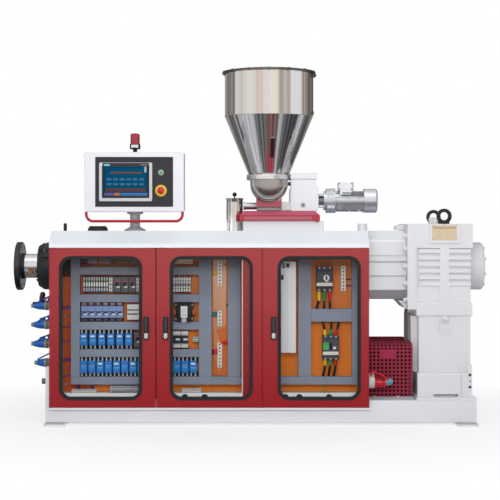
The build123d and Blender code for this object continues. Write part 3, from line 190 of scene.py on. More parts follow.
def pad(x, z, width, height, front, back, soft=1.5, corner=2.0, tint=(1, 1, 1), steps=2):
    """A block given by the middle and the size of its face, and its front and back in y."""
    w, h = width / 2, height / 2
    return block(x - w, x + w, front, back, z - h, z + h, soft, corner, tint, steps)


def frame_ring(x0, x1, z0, z1, wall, y0, y1, tint=(1, 1, 1), corner=8.0):
    """A rounded frame: the outer and inner rounded rectangles at two depths, joined as one loop."""
    bevel = 1.2
    outer = section(x1 - x0, z1 - z0, corner, 6)
    inner = section(x1 - x0 - 2 * wall, z1 - z0 - 2 * wall, max(corner - wall, 1.0), 6)
    rings = ((outer, y1), (outer, y0 + bevel), (outer * 0.996, y0), (inner * 1.004, y0),
             (inner, y0 + bevel), (inner, y1))
    middle = np.array([(x0 + x1) / 2, (z0 + z1) / 2])
    rows = [np.stack([s[:, 0] + middle[0], np.full(len(s), y), s[:, 1] + middle[1]], -1) for s, y in rings]
    return skin(np.array(rows), loop=True, tint=tint)


print("faces of a block:", len(block(0, 10, 0, 10, 0, 10).sizes))

# %% Tubes and cables
def tube(path, radius, steps=8, up=(0, 1, 0), tint=(1, 1, 1)):
    """A round section carried along a path. At each point the tangent is the difference of its
    neighbours, side is tangent cross up, and the ring is radius * (cos t * side + sin t * other)."""
    path = np.asarray(path, float)
    tangent = np.gradient(path, axis=0)
    tangent /= np.linalg.norm(tangent, axis=1, keepdims=True)
    side = np.cross(tangent, np.asarray(up, float))
    side /= np.linalg.norm(side, axis=1, keepdims=True)
    other = np.cross(side, tangent)
    t = np.linspace(0, 2 * math.pi, steps, endpoint=False)[None, :, None]
    radius = np.broadcast_to(np.asarray(radius, float), (len(path),))[:, None, None]
    rows = path[:, None] + radius * (np.cos(t) * side[:, None] + np.sin(t) * other[:, None])
    return skin(rows, tint=tint)


def smooth_path(points, steps=6):
    """A curve through the points: between two of them each coordinate follows the Catmull-Rom
    cubic of the four nearest, whose slope at a point is half the step between its neighbours."""
    p = np.asarray(points, float)
    p = np.concatenate([2 * p[:1] - p[1:2], p, 2 * p[-1:] - p[-2:-1]])
    a, b, c, d = p[:-3, None], p[1:-2, None], p[2:-1, None], p[3:, None]
    t = np.linspace(0, 1, steps, endpoint=False)[None, :, None]
    curve = b + 0.5 * t * (c - a + t * (2 * a - 5 * b + 4 * c - d + t * (3 * (b - c) + d - a)))
    return np.concatenate([curve.reshape(-1, 3), p[-2:-1]])


def cable(points, radius, steps=10, tint=(1, 1, 1)):
    """A round section on a smooth curve through a few points."""
    return tube(smooth_path(points), radius, steps, tint=tint)


print("points on a curve through three:", len(smooth_path([(0, 0, 0), (5, 0, 0), (9, 3, 0)])))

# %% Bolts
def bolt(way, radius, height, at=(0, 0, 0), tint=(1, 1, 1), washer=3.0, steps=6):
    """A head that looks along an axis such as "-x": a turning of six sides or more with a small
    chamfer, over a round washer that is 1.35 times as wide."""
    axis, sign = way[1], -1 if way[0] == "-" else 1
    foot, top = sign * washer, sign * (washer + height)
    profile = [(radius, foot), (radius, foot + 0.8 * (top - foot)), (0.85 * radius, top)]
    return joined([lathe(profile, axis, at, steps, tint), rod(1.35 * radius, 0, foot, axis, at, 24, tint)])


def hexagon(radius, depth, tint=(1, 1, 1)):
    """A bolt head that faces up: a six-sided bar with a small chamfer, from z = 0 to z = depth."""
    t = np.arange(6) * math.pi / 3
    rows = [np.stack([r * np.cos(t), r * np.sin(t), np.full(6, z)], -1)
            for r, z in ((radius, 0.0), (radius, 0.8 * depth), (0.86 * radius, depth))]
    return skin(np.array(rows), tint=tint)


print("faces of a bolt:", len(bolt("-x", 8, 6).sizes))

# %% [markdown]
# ## Shader maths written as sums
#
# A procedural finish is a small calculation for each point of the surface. Blender draws that
# as boxes and wires, but it reads better as a line of arithmetic. The class below wraps one
# output and overloads plus, minus and times, so that `0.3 + 0.05 * noise` adds the Math nodes
# by itself.

# %% Wire
class Wire:
    """One number that varies over a surface. Arithmetic on it adds Math nodes."""

    def __init__(self, finish, socket):
        self.finish = finish
        self.socket = socket

    def math(self, operation, a, b):
        """A Math node on two numbers or wires."""
        return self.finish.add("ShaderNodeMath", {"operation": operation}, {0: a, 1: b})

    def __add__(self, other):
        return self.math("ADD", self, other)

    def __radd__(self, other):
        return self.math("ADD", other, self)

    def __sub__(self, other):
        return self.math("SUBTRACT", self, other)

    def __rsub__(self, other):
        return self.math("SUBTRACT", other, self)

    def __mul__(self, other):
        return self.math("MULTIPLY", self, other)

    def __rmul__(self, other):
        return self.math("MULTIPLY", other, self)

    def above(self, edge, width=0.02):
        """0 below the edge and 1 above it, with a short ramp between."""
        low, high = edge - width / 2, edge + width / 2
        return self.finish.add("ShaderNodeMapRange", {"clamp": True}, {"Value": self, 1: low, 2: high})


print("a wire can", [name for name in vars(Wire) if name in ("__add__", "__sub__", "__mul__", "above")])

# %% Finish
class Finish:
    """A material. Constant values go straight to the shader's sockets, varying ones as wires."""

    def __init__(self, name, **constants):
        self.material = bpy.data.materials.new(name)
        self.material.use_nodes = True
        self.tree = self.material.node_tree
        self.shader = self.tree.nodes["Principled BSDF"]
        for socket, value in constants.items():
            self.set(socket.replace("_", " ").title().replace("Ior", "IOR"), value)

    def add(self, kind, settings=None, values=None, out=0):
        """Any node: its settings first, then the values or wires of its sockets."""
        node = self.tree.nodes.new(kind)
        for key, value in (settings or {}).items():
            setattr(node, key, value)
        for key, value in (values or {}).items():
            self.plug(node.inputs[key], value)
        return Wire(self, node.outputs[out])

    def plug(self, socket, value):
        """A wire is linked to the socket, and a plain value is set on it."""
        if isinstance(value, Wire):
            self.tree.links.new(value.socket, socket)
        elif isinstance(value, (tuple, list)) and socket.type == "RGBA":
            socket.default_value = (*value[:3], 1)
        else:
            socket.default_value = value

    def set(self, socket, value):
        """One of the shader's own sockets, as a value or a wire."""
        self.plug(self.shader.inputs[socket], value)
        return self

    def place(self, scale=(1, 1, 1)):
        """Object coordinates in metres, scaled."""
        where = self.add("ShaderNodeTexCoord", out="Object")
        if scale == (1, 1, 1):
            return where
        return self.add("ShaderNodeMapping", None, {"Vector": where, "Scale": scale})

    def noise(self, scale, detail=3.0, rough=0.55, stretch=(1, 1, 1)):
        """Cloudy noise from 0 to 1, about scale clouds to a metre, squeezed by the stretch."""
        return self.add("ShaderNodeTexNoise", None, {"Vector": self.place(stretch), "Scale": scale,
                                                    "Detail": detail, "Roughness": rough})

    def blend(self, factor, a, b, how="MIX"):
        """Colours a and b mixed by a factor."""
        return self.add("ShaderNodeMix", {"data_type": "RGBA", "blend_type": how},
                        {"Factor": factor, 6: a, 7: b}, out=2)

    def tint(self):
        """The colour that the piece's patches carry."""
        return self.add("ShaderNodeAttribute", {"attribute_name": "tint"}, out="Color")

    def height(self):
        """How high a point is above the floor, in metres."""
        return self.add("ShaderNodeSeparateXYZ", None, {0: self.place()}, out=2)

    def bump(self, height, strength, depth):
        """Light falls as on a surface that rises by depth metres where height is 1, as far as
        strength lets it."""
        self.set("Normal", self.add("ShaderNodeBump", None, {"Height": height, "Strength": strength,
                                                             "Distance": depth}))
        return self


print("a finish can", [name for name in vars(Finish) if name[0] != "_"])

# %% Build
def build(name, patches, finish, body="frame", smooth=35, replaces=()):
    """Joins patches into one piece in metres, gives it a finish, and lets it ride on a body."""
    patch = joined(patches) if isinstance(patches, (list, tuple)) else patches
    mesh = bpy.data.meshes.new(name)
    mesh.vertices.add(len(patch.points))
    mesh.vertices.foreach_set("co", (patch.points * 0.001).astype(np.float32).ravel())
    mesh.loops.add(len(patch.corners))
    mesh.loops.foreach_set("vertex_index", patch.corners.astype(np.int32))
    mesh.polygons.add(len(patch.sizes))
    starts = np.concatenate([[0], np.cumsum(patch.sizes)[:-1]])
    mesh.polygons.foreach_set("loop_start", starts.astype(np.int32))
    mesh.update(calc_edges=True)
    mesh.validate()
    outward = bmesh.new()
    outward.from_mesh(mesh)
    bmesh.ops.recalc_face_normals(outward, faces=outward.faces)
    outward.to_mesh(mesh)
    outward.free()
    layer = mesh.attributes.new("tint", "FLOAT_COLOR", "POINT")
    colours = np.concatenate([patch.tint, np.ones((len(patch.tint), 1))], 1)
    layer.data.foreach_set("color", colours.astype(np.float32).ravel())
    piece = bpy.data.objects.new(name, mesh)
    bpy.context.scene.collection.objects.link(piece)
    if smooth:
        mesh.shade_smooth()
        mesh.set_sharp_from_angle(angle=math.radians(smooth))
    mesh.materials.append(finish.material)
    if body is None:
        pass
    else:
        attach(piece, body)
    if replaces:
        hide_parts(*replaces)
    print(f"{name}: {len(mesh.polygons)} faces")
    return piece


print("build ready")

# %% [markdown]
# ## Paints, metals and plastics
#
# The machine wears few finishes: white and red enamel, polished stainless steel, black oxide,
# rubber and moulded plastic. Enamel on castings keeps a little of the sand texture under it, and
# on sheet it has the fine orange peel of a spray gun. Both are a fine noise in a Bump node, and
# a slow noise that lets the colour drift by a few percent, as it does over a large panel.

# %% Enamels and plastics
def enamel(name, colour, shade, rough=0.35, grain=420.0, peel=0.10, coat=0.25):
    """Sprayed paint: colour drifts to shade with a slow noise, and a fine noise dimples it."""
    f = Finish(name, coat_weight=coat, coat_roughness=0.12)
    drift = f.noise(2.3, 4.0)
    dimple = f.noise(grain, 2.0)
    f.set("Base Color", f.blend(0.55 * drift, colour, shade))
    f.set("Roughness", rough + 0.12 * (dimple - 0.5))
    return f.bump(dimple, peel, 0.0006)


def plastic(name, colour=None, rough=0.42, grain=900.0, peel=0.08, gloss=0.22):
    """Moulded plastic: its own colour or that of the patches, with a fine spark-eroded grain."""
    f = Finish(name)
    f.set("Specular IOR Level", gloss)
    speck = f.noise(grain, 2.0)
    base = f.tint() if colour is None else colour
    f.set("Base Color", f.blend(0.25 * speck, base, (0.5, 0.5, 0.5), "MULTIPLY"))
    f.set("Roughness", rough + 0.15 * (speck - 0.5))
    return f.bump(speck, peel, 0.0003)


def by_height(finish, level, ramp, low_colour, high_colour):
    """One colour below a level and another above it, with a ramp between, all in metres."""
    finish.set("Base Color", finish.blend(finish.height().above(level, ramp), low_colour, high_colour))


white_casting = ((0.72, 0.72, 0.745), (0.66, 0.66, 0.69), 0.38, 210.0, 0.22, 0.20)
cast_white = enamel("cast_white_enamel", *white_casting)
case_white = enamel("case_white_enamel", *white_casting)
# Painted highlight: above 1.109 m the case's colour is lighter, standing for the light that falls on its
# upper facet from above.
by_height(case_white, 1.109, 0.006, (0.71, 0.71, 0.735), (0.83, 0.85, 0.89))
column_grey = enamel("column_grey_enamel", (0.30, 0.31, 0.32), (0.26, 0.27, 0.28), 0.34, 520.0, 0.05, 0.2)
sheet_white = enamel("sheet_white_enamel", (0.73, 0.74, 0.775), (0.68, 0.69, 0.73), 0.30, 520.0, 0.06, 0.35)
cover_tints = ((0.78, 0.825, 0.88), (0.73, 0.78, 0.85))
cover_white = enamel("cover_blue_white_enamel", *cover_tints, 0.30, 520.0, 0.06, 0.35)
sheet_red = enamel("sheet_red_enamel", (0.325, 0.018, 0.023), (0.29, 0.014, 0.019), 0.32, 520.0, 0.05, 0.08)
sheet_red.set("Specular IOR Level", 0.32)
# Painted shade: the red enamel is darker towards the floor, standing for the light that falls off down the
# doors and posts.
by_height(sheet_red, 0.42, 0.64, (0.285, 0.003, 0.008), (0.325, 0.020, 0.025))
signal_red = enamel("signal_red_enamel", (0.46, 0.012, 0.034), (0.40, 0.010, 0.026), 0.32, 520.0, 0.05, 0.06)
signal_red.set("Specular IOR Level", 0.3)
guard_red = enamel("guard_red_enamel", (0.27, 0.036, 0.060), (0.23, 0.030, 0.050), 0.36, 520.0, 0.05, 0.0)
guard_red.set("Specular IOR Level", 0.0)
black_enamel = enamel("black_enamel", (0.014, 0.015, 0.017), (0.022, 0.023, 0.026), 0.42, 300.0, 0.12, 0.0)
black_enamel.set("Specular IOR Level", 0.25)
black_plastic = plastic("black_plastic", (0.016, 0.017, 0.020), 0.48)
tinted_plastic = plastic("tinted_plastic")
tinted_gloss = plastic("tinted_gloss_plastic", None, 0.28, 900.0, 0.04, 0.34)
duct_plastic = plastic("duct_grey_plastic", (0.3, 0.35, 0.44), 0.5, 500.0, 0.10)
# Painted shade: the ducts are darker towards the top of the cabinet, standing for the shade under the top
# cover.
by_height(duct_plastic, 0.90, 0.36, (0.27, 0.31, 0.39), (0.13, 0.133, 0.145))
rubber = plastic("black_rubber", (0.013, 0.014, 0.016), 0.60, 700.0, 0.18)
print("enamels and plastics:", len(bpy.data.materials))

# %% [markdown]
# ## Metals
#
# Polished steel is mostly what stands around it. What it adds is fine: rolling marks that run
# along the sheet, and a faint cloudiness from cleaning. A noise stretched forty times longer in
# one direction than across it gives the rolling marks, and it feeds roughness and bump only.

# %% Metals
def steel(name, colour, rough, stretch=(60, 60, 1.5), scale=6.0, marks=0.05, deep=0.06, cloud=0.08):
    """Metal with rolling marks: a noise whose space is squeezed across the marks."""
    f = Finish(name, metallic=1.0)
    roll = f.noise(scale, 3.0, 0.6, stretch)
    haze = f.noise(4.0, 3.0)
    f.set("Base Color", f.blend(0.35 * haze, colour, tuple(0.86 * c for c in colour)))
    f.set("Roughness", rough + marks * (roll - 0.5) + cloud * (haze - 0.5))
    return f.bump(roll, deep, 0.0004)


polished_steel = steel("polished_stainless", (0.74, 0.725, 0.71), 0.09, marks=0.04, cloud=0.05)
machined_steel = steel("machined_steel", (0.62, 0.62, 0.63), 0.26, (1.5, 60, 60))
zinc_steel = steel("zinc_plated_steel", (0.66, 0.67, 0.68), 0.30, (20, 20, 20), 10.0)
cast_aluminium = steel("cast_aluminium", (0.54, 0.565, 0.61), 0.36, (30, 30, 30), 9.0, 0.12, 0.15)
fin_aluminium = steel("finned_aluminium", (0.20, 0.21, 0.23), 0.45, (30, 30, 30), 9.0, 0.12, 0.15)
rim_steel = steel("dull_rim_steel", (0.085, 0.078, 0.07), 0.42)
bowl_steel = steel("brushed_bowl_steel", (0.36, 0.345, 0.33), 0.16)
black_oxide = steel("black_oxide_steel", (0.048, 0.050, 0.054), 0.42, (1.5, 60, 60), 6.0, 0.08, 0.10)
print("metals ready")

# %% [markdown]
# ## The camera and the studio
#
# The photograph is level, taken from far away, and cropped a little high, so the camera stands
# 8.9 m in front of the screw axis at a height of 1.17 m, and its lens is shifted down. The
# studio is a white room: large soft lamps above, in front and at each side, and a white backdrop
# that comes from the world colour as the camera and the reflections see it. Polished steel needs a
# darker hall around it, so a round wall of tall strips and two rings of floor stand there for
# mirrors only.

# %% Camera
sensor_width, image_pixels, focal_pixels, shift_pixels = 36, 500, 1400, -18
camera_data = bpy.data.cameras.new("camera")
camera_data.sensor_width = sensor_width
camera_data.lens = sensor_width * focal_pixels / image_pixels
camera_data.shift_y = shift_pixels / image_pixels
camera = bpy.data.objects.new("camera", camera_data)
camera.location = (0, -8.915, 1.171)
camera.rotation_euler = (math.radians(90), 0, 0)
bpy.context.scene.collection.objects.link(camera)
bpy.context.scene.camera = camera
bpy.context.scene.view_settings.view_transform = "Standard"
print("lens in millimetres:", round(camera_data.lens, 1))

# %% Lamps
def lamp(name, place, aim, size, power):
    """A soft lamp of a width and a height at a place, turned towards a point."""
    data = bpy.data.lights.new(name, "AREA")
    data.shape = "RECTANGLE"
    data.size, data.size_y = size
    data.energy = power
    item = bpy.data.objects.new(name, data)
    item.location = place
    step = [a - p for a, p in zip(aim, place)]
    across = math.hypot(step[0], step[1])
    item.rotation_euler = (math.atan2(across, -step[2]), 0, math.atan2(step[1], step[0]) - math.pi / 2)
    bpy.context.scene.collection.objects.link(item)


lamp("top_lamp", (0.0, -2.2, 4.6), (0, 0, 0.8), (4.6, 3.0), 56)
lamp("front_lamp", (0.0, -6.6, 2.7), (0, 0, 0.7), (3.4, 1.8), 160)
lamp("left_lamp", (-4.2, -4.2, 2.4), (0, 0, 1.0), (2.4, 3.0), 30)
lamp("right_lamp", (4.6, -3.6, 2.2), (0.3, 0, 1.0), (2.4, 3.0), 20)
print("lamps:", len(bpy.data.lights))

# %% World and floor
world = bpy.data.worlds.new("studio")
world.use_nodes = True
bpy.context.scene.world = world
tree = world.node_tree
path_node = tree.nodes.new("ShaderNodeLightPath")
seen, seen_more = tree.nodes.new("ShaderNodeMath"), tree.nodes.new("ShaderNodeMath")
seen.operation = seen_more.operation = "MAXIMUM"
tree.links.new(path_node.outputs["Is Camera Ray"], seen.inputs[0])
tree.links.new(path_node.outputs["Is Glossy Ray"], seen.inputs[1])
tree.links.new(seen.outputs[0], seen_more.inputs[0])
tree.links.new(path_node.outputs["Is Transmission Ray"], seen_more.inputs[1])
light_given, white_shown = 0.34, 1.0
level = tree.nodes.new("ShaderNodeMapRange")
level.inputs["To Min"].default_value = light_given
level.inputs["To Max"].default_value = white_shown
tree.links.new(seen_more.outputs[0], level.inputs["Value"])
background = tree.nodes["Background"]
background.inputs["Color"].default_value = (1, 1, 1, 1)
tree.links.new(level.outputs[0], background.inputs["Strength"])

floor_finish = Finish("studio_floor", roughness=0.9)
floor_finish.set("Base Color", (0.93, 0.93, 0.935))
rays = floor_finish.add("ShaderNodeLightPath", out="Is Glossy Ray")
far = floor_finish.add("ShaderNodeVectorMath", {"operation": "LENGTH"}, {0: floor_finish.place()}, "Value")
seen_share = floor_finish.add("ShaderNodeMapRange", {"clamp": True},
                              {"Value": far, 1: 1.0, 2: 2.6, 3: 0.68, 4: 1.0})
camera_ray = Wire(floor_finish, rays.socket.node.outputs["Is Camera Ray"])
share = floor_finish.add("ShaderNodeMath", {"operation": "MAXIMUM"}, {0: rays, 1: camera_ray * seen_share})
glow = floor_finish.add("ShaderNodeEmission", None, {"Color": (1, 1, 1), "Strength": 1.0})
floor_tree = floor_finish.tree
mixer = floor_tree.nodes.new("ShaderNodeMixShader")
floor_tree.links.new(share.socket, mixer.inputs[0])
floor_tree.links.new(floor_finish.shader.outputs[0], mixer.inputs[1])
floor_tree.links.new(glow.socket, mixer.inputs[2])
floor_tree.links.new(mixer.outputs[0], floor_tree.nodes["Material Output"].inputs["Surface"])
floor_mesh = bpy.data.meshes.new("studio_floor")
reach = 30.0
floor_mesh.from_pydata([(-reach, -reach, 0), (reach, -reach, 0), (reach, reach, 0), (-reach, reach, 0)], [],
                       [(0, 1, 2, 3)])
floor_mesh.materials.append(floor_finish.material)
floor = bpy.data.objects.new("studio_floor", floor_mesh)
bpy.context.scene.collection.objects.link(floor)
print("floor reaches", reach, "m")


# %% Mirrored surroundings
def mirror_ring(name, place, rims, knots, streak=0.0, strips=180):
    """A round wall or floor that only mirrors see, in narrow strips. A strip's corners lie at
    place + radius * (sin a, -cos a) on both rims, (radius, height) in metres. Its colour runs
    straight from knot to knot (angle in degrees, colour), and streak adds three sine waves, most
    where it is half dark."""
    edge = np.linspace(-180, 180, strips + 1)
    angles, stops = [knot[0] for knot in knots], np.array([knot[1] for knot in knots])
    colours = np.stack([np.interp(edge[:-1], angles, stops[:, i], period=360) for i in range(3)], -1)
    wave = sum(np.sin(rate * np.arange(strips) + rate) for rate in (0.9, 2.3, 5.1))
    colours = np.clip(colours + streak * wave[:, None] * colours * (1 - colours), 0, 1)
    turn = np.radians(np.repeat(edge, 2)[1:-1])
    across, along = np.sin(turn), -np.cos(turn)
    rows = np.stack([np.stack([place[0] + r * across, place[1] + r * along, np.full(len(turn), z)], -1)
                     for r, z in rims])
    patch = skin(1000 * rows, ring=False, tint=np.tile(np.repeat(colours, 2, 0), (len(rims), 1)))
    shade = Finish(name)
    light = shade.add("ShaderNodeEmission", None, {"Color": shade.tint(), "Strength": 1.0})
    shade.tree.links.new(light.socket, shade.tree.nodes["Material Output"].inputs["Surface"])
    sheet = build(name, patch, shade, body=None, smooth=0)
    sheet.visible_camera = sheet.visible_diffuse = sheet.visible_shadow = sheet.visible_transmission = False


hopper_spot = (0.12, 0.0)
warm_white, cool_white = (0.90, 0.87, 0.85), (0.93, 0.94, 0.97)
hall_grey, dim_grey = (0.30, 0.29, 0.27), (0.20, 0.19, 0.18)
hall = [
    (-180, hall_grey), (-150, (0.40, 0.39, 0.37)), (-128, dim_grey), (-112, (0.34, 0.33, 0.32)),
    (-100, dim_grey), (-94, warm_white), (-76, (0.74, 0.72, 0.70)), (-58, warm_white), (-44, warm_white),
    (-26, (0.88, 0.68, 0.65)), (-16, (0.80, 0.74, 0.74)), (2, (0.80, 0.77, 0.75)), (12, (0.98, 0.90, 0.78)),
    (22, (0.92, 0.84, 0.72)), (28, (0.36, 0.34, 0.33)), (38, (0.72, 0.67, 0.60)), (50, (0.46, 0.43, 0.40)),
    (56, cool_white), (86, cool_white), (94, (0.42, 0.34, 0.27)), (104, (0.44, 0.41, 0.38)),
    (122, (0.12, 0.11, 0.10)), (150, hall_grey)]
mirror_ring("mirrored_hall", hopper_spot, ((3.2, 1.26), (3.2, 4.0)), hall, 0.22)
grey_floor, pale_floor, dark_floor = (0.16, 0.165, 0.17), (0.60, 0.62, 0.66), (0.07, 0.072, 0.078)
far_red, near_red = (0.22, 0.12, 0.12), (0.42, 0.07, 0.10)
mirror_ring("mirrored_far_floor", hopper_spot, ((2.1, 0.012), (12.0, 0.012)), [
    (-170, (0.22, 0.21, 0.20)), (-118, (0.13, 0.125, 0.12)), (-106, (0.40, 0.41, 0.43)), (-100, dark_floor),
    (-84, dark_floor), (-78, pale_floor), (-48, pale_floor), (-40, grey_floor), (-12, grey_floor),
    (-8, far_red), (18, far_red), (24, grey_floor), (34, pale_floor), (42, grey_floor), (66, dark_floor),
    (84, dark_floor), (92, pale_floor), (104, pale_floor), (112, grey_floor), (132, dark_floor)], 0.4)
mirror_ring("mirrored_near_floor", hopper_spot, ((0.7, 0.014), (2.1, 0.014)), [
    (-180, grey_floor), (-70, grey_floor), (-58, pale_floor), (-44, pale_floor), (-34, grey_floor),
    (-15, grey_floor), (-12, near_red), (22, near_red), (25, grey_floor), (34, pale_floor), (46, grey_floor),
    (80, grey_floor), (96, pale_floor), (110, grey_floor)], 0.4)
print("studio ready")

# %% [markdown]
# ## Finishes for the pieces that keep their CAD shape
#
# Doors, covers, housings and the base are already the right shape, so they only change their
# material. The list below reads like a paint schedule.

# %% Paint schedule
glass = Finish("window_glass", roughness=0.03, ior=1.45, alpha=0.05)
glass.set("Base Color", (0.03, 0.035, 0.04))
backplate = Finish("orange_backplate", specular_ior_level=0.2)
stain = backplate.noise(7.0, 4.0)
# Painted shade: the orange turns brown towards the top of the cabinet, standing for the shade under the top
# cover.
orange = backplate.blend(backplate.height().above(0.82, 0.6), (0.98, 0.27, 0.020), (0.58, 0.19, 0.065))
right_of = backplate.add("ShaderNodeSeparateXYZ", None, {0: backplate.place()}).above(-0.99, 0.06)
redder_left = backplate.blend(right_of, (0.62, 0.085, 0.018), orange)
backplate.set("Base Color", backplate.blend(0.45 * stain, redder_left, (0.70, 0.16, 0.020)))
backplate.set("Roughness", 0.34 + 0.2 * (stain - 0.5))

schedule = {
    sheet_red: ["door_left", "door_middle", "door_right", "cabinet_posts"],
    signal_red: ["feeder_tray", "panel_handle"],
    rubber: ["door_left_gasket", "door_middle_gasket", "door_right_gasket"],
    glass: ["door_left_glass", "door_middle_glass", "door_right_glass"],
    black_plastic: ["cover_fittings"],
    sheet_white: ["base_frame", "foot_plates", "end_panel", "gearbox_pad", "cabinet_walls", "cabinet_sill",
                  "rear_panels", "angle_bracket", "feeder_pedestal", "feeder_housing", "control_panel_box"],
    cover_white: ["top_cover"],
    case_white: ["distribution_case"],
    cast_white: ["gearbox_housing", "gearbox_lower_housing", "gearbox_end_cap", "breather_caps"],
    column_grey: ["panel_column"],
    backplate: ["mounting_plate"],
    duct_plastic: ["cable_ducts"],
    polished_steel: ["hopper", "feed_chute"],
    bowl_steel: ["feeder_body"],
    machined_steel: ["barrel"],
    black_oxide: ["die_flange"],
    black_enamel: ["barrel_cover", "lifting_eyes", "main_motor"],
    cast_aluminium: ["feeder_motor"],
}
painted = set()
for finish, names in schedule.items():
    for name in names:
        nodes[name].data.materials.clear()
        nodes[name].data.materials.append(finish.material)
        painted.add(name)
print("not painted yet:", sorted(set(nodes) - painted))

# %% [markdown]
# ## Behind the windows
#
# The back of the cabinet is an orange plate with grey wiring ducts, and between the ducts sit rows
# of relays, breakers and modules. Each real device is a moulded body with a few things on its
# face: terminals with screws, a toggle, a clear cover. So a device here is one body and a short
# list of raised blocks, made once about its own centre and then copied along its rail. Places are
# counted from the cabinet's left end and from the lower edge of the plate, as an electrician would.

# %% Places on the mounting plate
def rgb(red, green, blue):
    """A screen colour of 0 to 255 as the linear colour that Blender mixes: with c as a share of
    255, ((c + 0.055) / 1.055) to the power 2.4, or c / 12.92 where c is under 0.04."""
    share = np.array([red, green, blue]) / 255.0
    return tuple(np.where(share < 0.04, share / 12.92, ((share + 0.055) / 1.055) ** 2.4).tolist())


def box(name):
    """A node's lowest and highest corners in millimetres."""
    return [[1000 * value for value in corner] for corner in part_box(name)]


def middle(corners, axis):
    """The middle of a box along an axis, 0 to 2."""
    return (corners[0][axis] + corners[1][axis]) / 2


black, dark, grey = rgb(26, 27, 30), rgb(62, 64, 70), rgb(146, 150, 158)
bone, soot, off_white = rgb(236, 235, 228), rgb(30, 31, 35), rgb(246, 246, 248)
plate_low, plate_face = box("mounting_plate")[0][2], box("mounting_plate")[0][1]
left_end = box("cabinet_walls")[0][0]
row_pitch, lowest_row = 170.0, 159.0


def row(number):
    """Middle height of the space above a horizontal duct, the lowest being 0."""
    return plate_low + lowest_row + number * row_pitch


def device(width, height, depth, body, details=(), corner=3.0):
    """A device about x = 0, z = 0 with its back on the plate. A detail is (x, z, width, height,
    tint, rise): a soft block that stands up from the face by its rise."""
    face = plate_face - depth
    blocks = [pad(0, 0, width, height, face, plate_face, 2.0, corner, body)]
    blocks += [pad(x, z, w, h, face - rise, face + 1, 0.8, 0.8, tint) for x, z, w, h, tint, rise in details]
    return joined(blocks)


def at_places(piece, first, pitch, count, height):
    """A device copied along a rail, the first at an offset from the cabinet's left end."""
    return repeated(piece, [(left_end + first + pitch * i, 0, height) for i in range(count)])


def on_plate(x0, x1, low, high, front, back=0.0, soft=1.0, corner=1.0, tint=(1, 1, 1), start=left_end):
    """A block in the plate's own measures: x from a start, heights from the plate's lower edge,
    and its front and back as distances from the plate's face."""
    return block(start + x0, start + x1, plate_face - front, plate_face - back, plate_low + low,
                 plate_low + high, soft, corner, tint)


def plate_point(x, depth, rise):
    """A point in the plate's own measures."""
    return (left_end + x, plate_face - depth, plate_low + rise)


def screws(count, pitch, z, radius=2.6, tint=rgb(176, 178, 182)):
    """A row of terminals: a dark well and a bright screw in it, as details of a device; the well's dark
    colour is painted shade of its recess.
    """
    places = [(i - (count - 1) / 2) * pitch for i in range(count)]
    # Painted shade: each well is a flat dark pad that stands for the shade in the terminal's opening.
    wells = [(x, z, 2.9 * radius, 3.2 * radius, dark, 0.6) for x in places]
    return wells + [(x, z, 1.7 * radius, 1.7 * radius, tint, 1.4) for x in places]


print("rows at", [row(i) for i in range(4)])

# %% Relays, breakers and contactors
violet, pewter, body_grey = rgb(120, 118, 176), rgb(150, 152, 158), rgb(92, 94, 100)
relay = device(12.6, 96, 46, rgb(64, 66, 74), [
    (0, 36, 9.6, 20, rgb(190, 192, 198), 3.0), (0, 21, 9.6, 6, rgb(176, 180, 110), 2.0),
    (0, 1, 10.6, 26, bone, 5.0), (0, -18, 9.6, 5, rgb(96, 128, 96), 2.0),
    (0, -32, 10.2, 22, rgb(198, 200, 208), 3.0), (0, -42, 6, 6, violet, 4.0)])
breaker = device(45, 96, 58, body_grey, [
    (0, 18, 44, 4.5, rgb(214, 48, 96), 0.8), *screws(3, 14.5, 38, tint=pewter),
    *screws(3, 14.5, -40, tint=pewter), (-1, 4, 25, 20, soot, 1.2), (0, -3, 12, 12, black, 6.0),
    (7, -15, 21, 10, bone, 1.4)])
end_block = device(25, 90, 46, pewter, [
    *[(x, z, 9, 17, bone, 4) for x in (-6.2, 6.2) for z in (34, 12, -12, -34)], *screws(2, 12, 0, 1.8)])
poles = (-31, -10, 10, 31)
four_pole = device(86, 96, 58, rgb(236, 236, 234), [
    (0, 12, 84, 5, soot, 1.0), (0, -12, 84, 5, soot, 1.0), *[(x, 0, 15, 17, bone, 8.0) for x in poles],
    *[(x, -13, 13, 9, black, 2.0) for x in poles], *[(x, 13, 13, 7, black, 2.0) for x in poles],
    *[(x, z, 1.6, 34, rgb(168, 170, 174), 0.6) for x in (-20.5, 0, 20.5) for z in (30, -31)]])
contactor = device(45, 104, 60, rgb(206, 208, 212), [
    (0, 0, 45, 50, rgb(40, 48, 72), 6.0), (6, 1, 26, 12, bone, 8.0), (-14, 14, 10, 10, rgb(24, 28, 44), 8.0),
    *[(x, z, 10, 16, rgb(238, 238, 236), 4.0) for x in (-14, 0, 14) for z in (41, -41)]])
white_relay = device(13.6, 92, 52, rgb(150, 152, 156), [
    (0, 34, 10.6, 17, bone, 4.0), (0, 14, 11, 12, rgb(216, 218, 220), 3.0),
    (0, -4, 9, 8, rgb(96, 98, 104), 1.0), (0, -16, 11, 12, rgb(226, 226, 224), 3.0),
    (0, -35, 10.6, 17, bone, 4.0)])
fitting = device(24, 44, 40, rgb(226, 226, 222), [
    (2, 6, 16, 9, rgb(214, 120, 52), 3.0), (-3, -12, 12, 9, rgb(92, 96, 102), 4.0)])
build("relays", [
    at_places(relay, 180.9, 15.8, 10, row(3)), at_places(white_relay, 740.5, 15.8, 7, row(3))],
    tinted_plastic, replaces=["rail_devices"])
build("breakers", [
    at_places(breaker, 385, 47.5, 3, row(3)), at_places(breaker, 514, 0, 1, row(1)),
    at_places(end_block, 345.5, 169, 2, row(3)), at_places(contactor, 757, 48, 2, row(1)),
    at_places(four_pole, 492, 0, 1, row(2)), at_places(fitting, 872, 0, 1, row(0))], tinted_gloss)

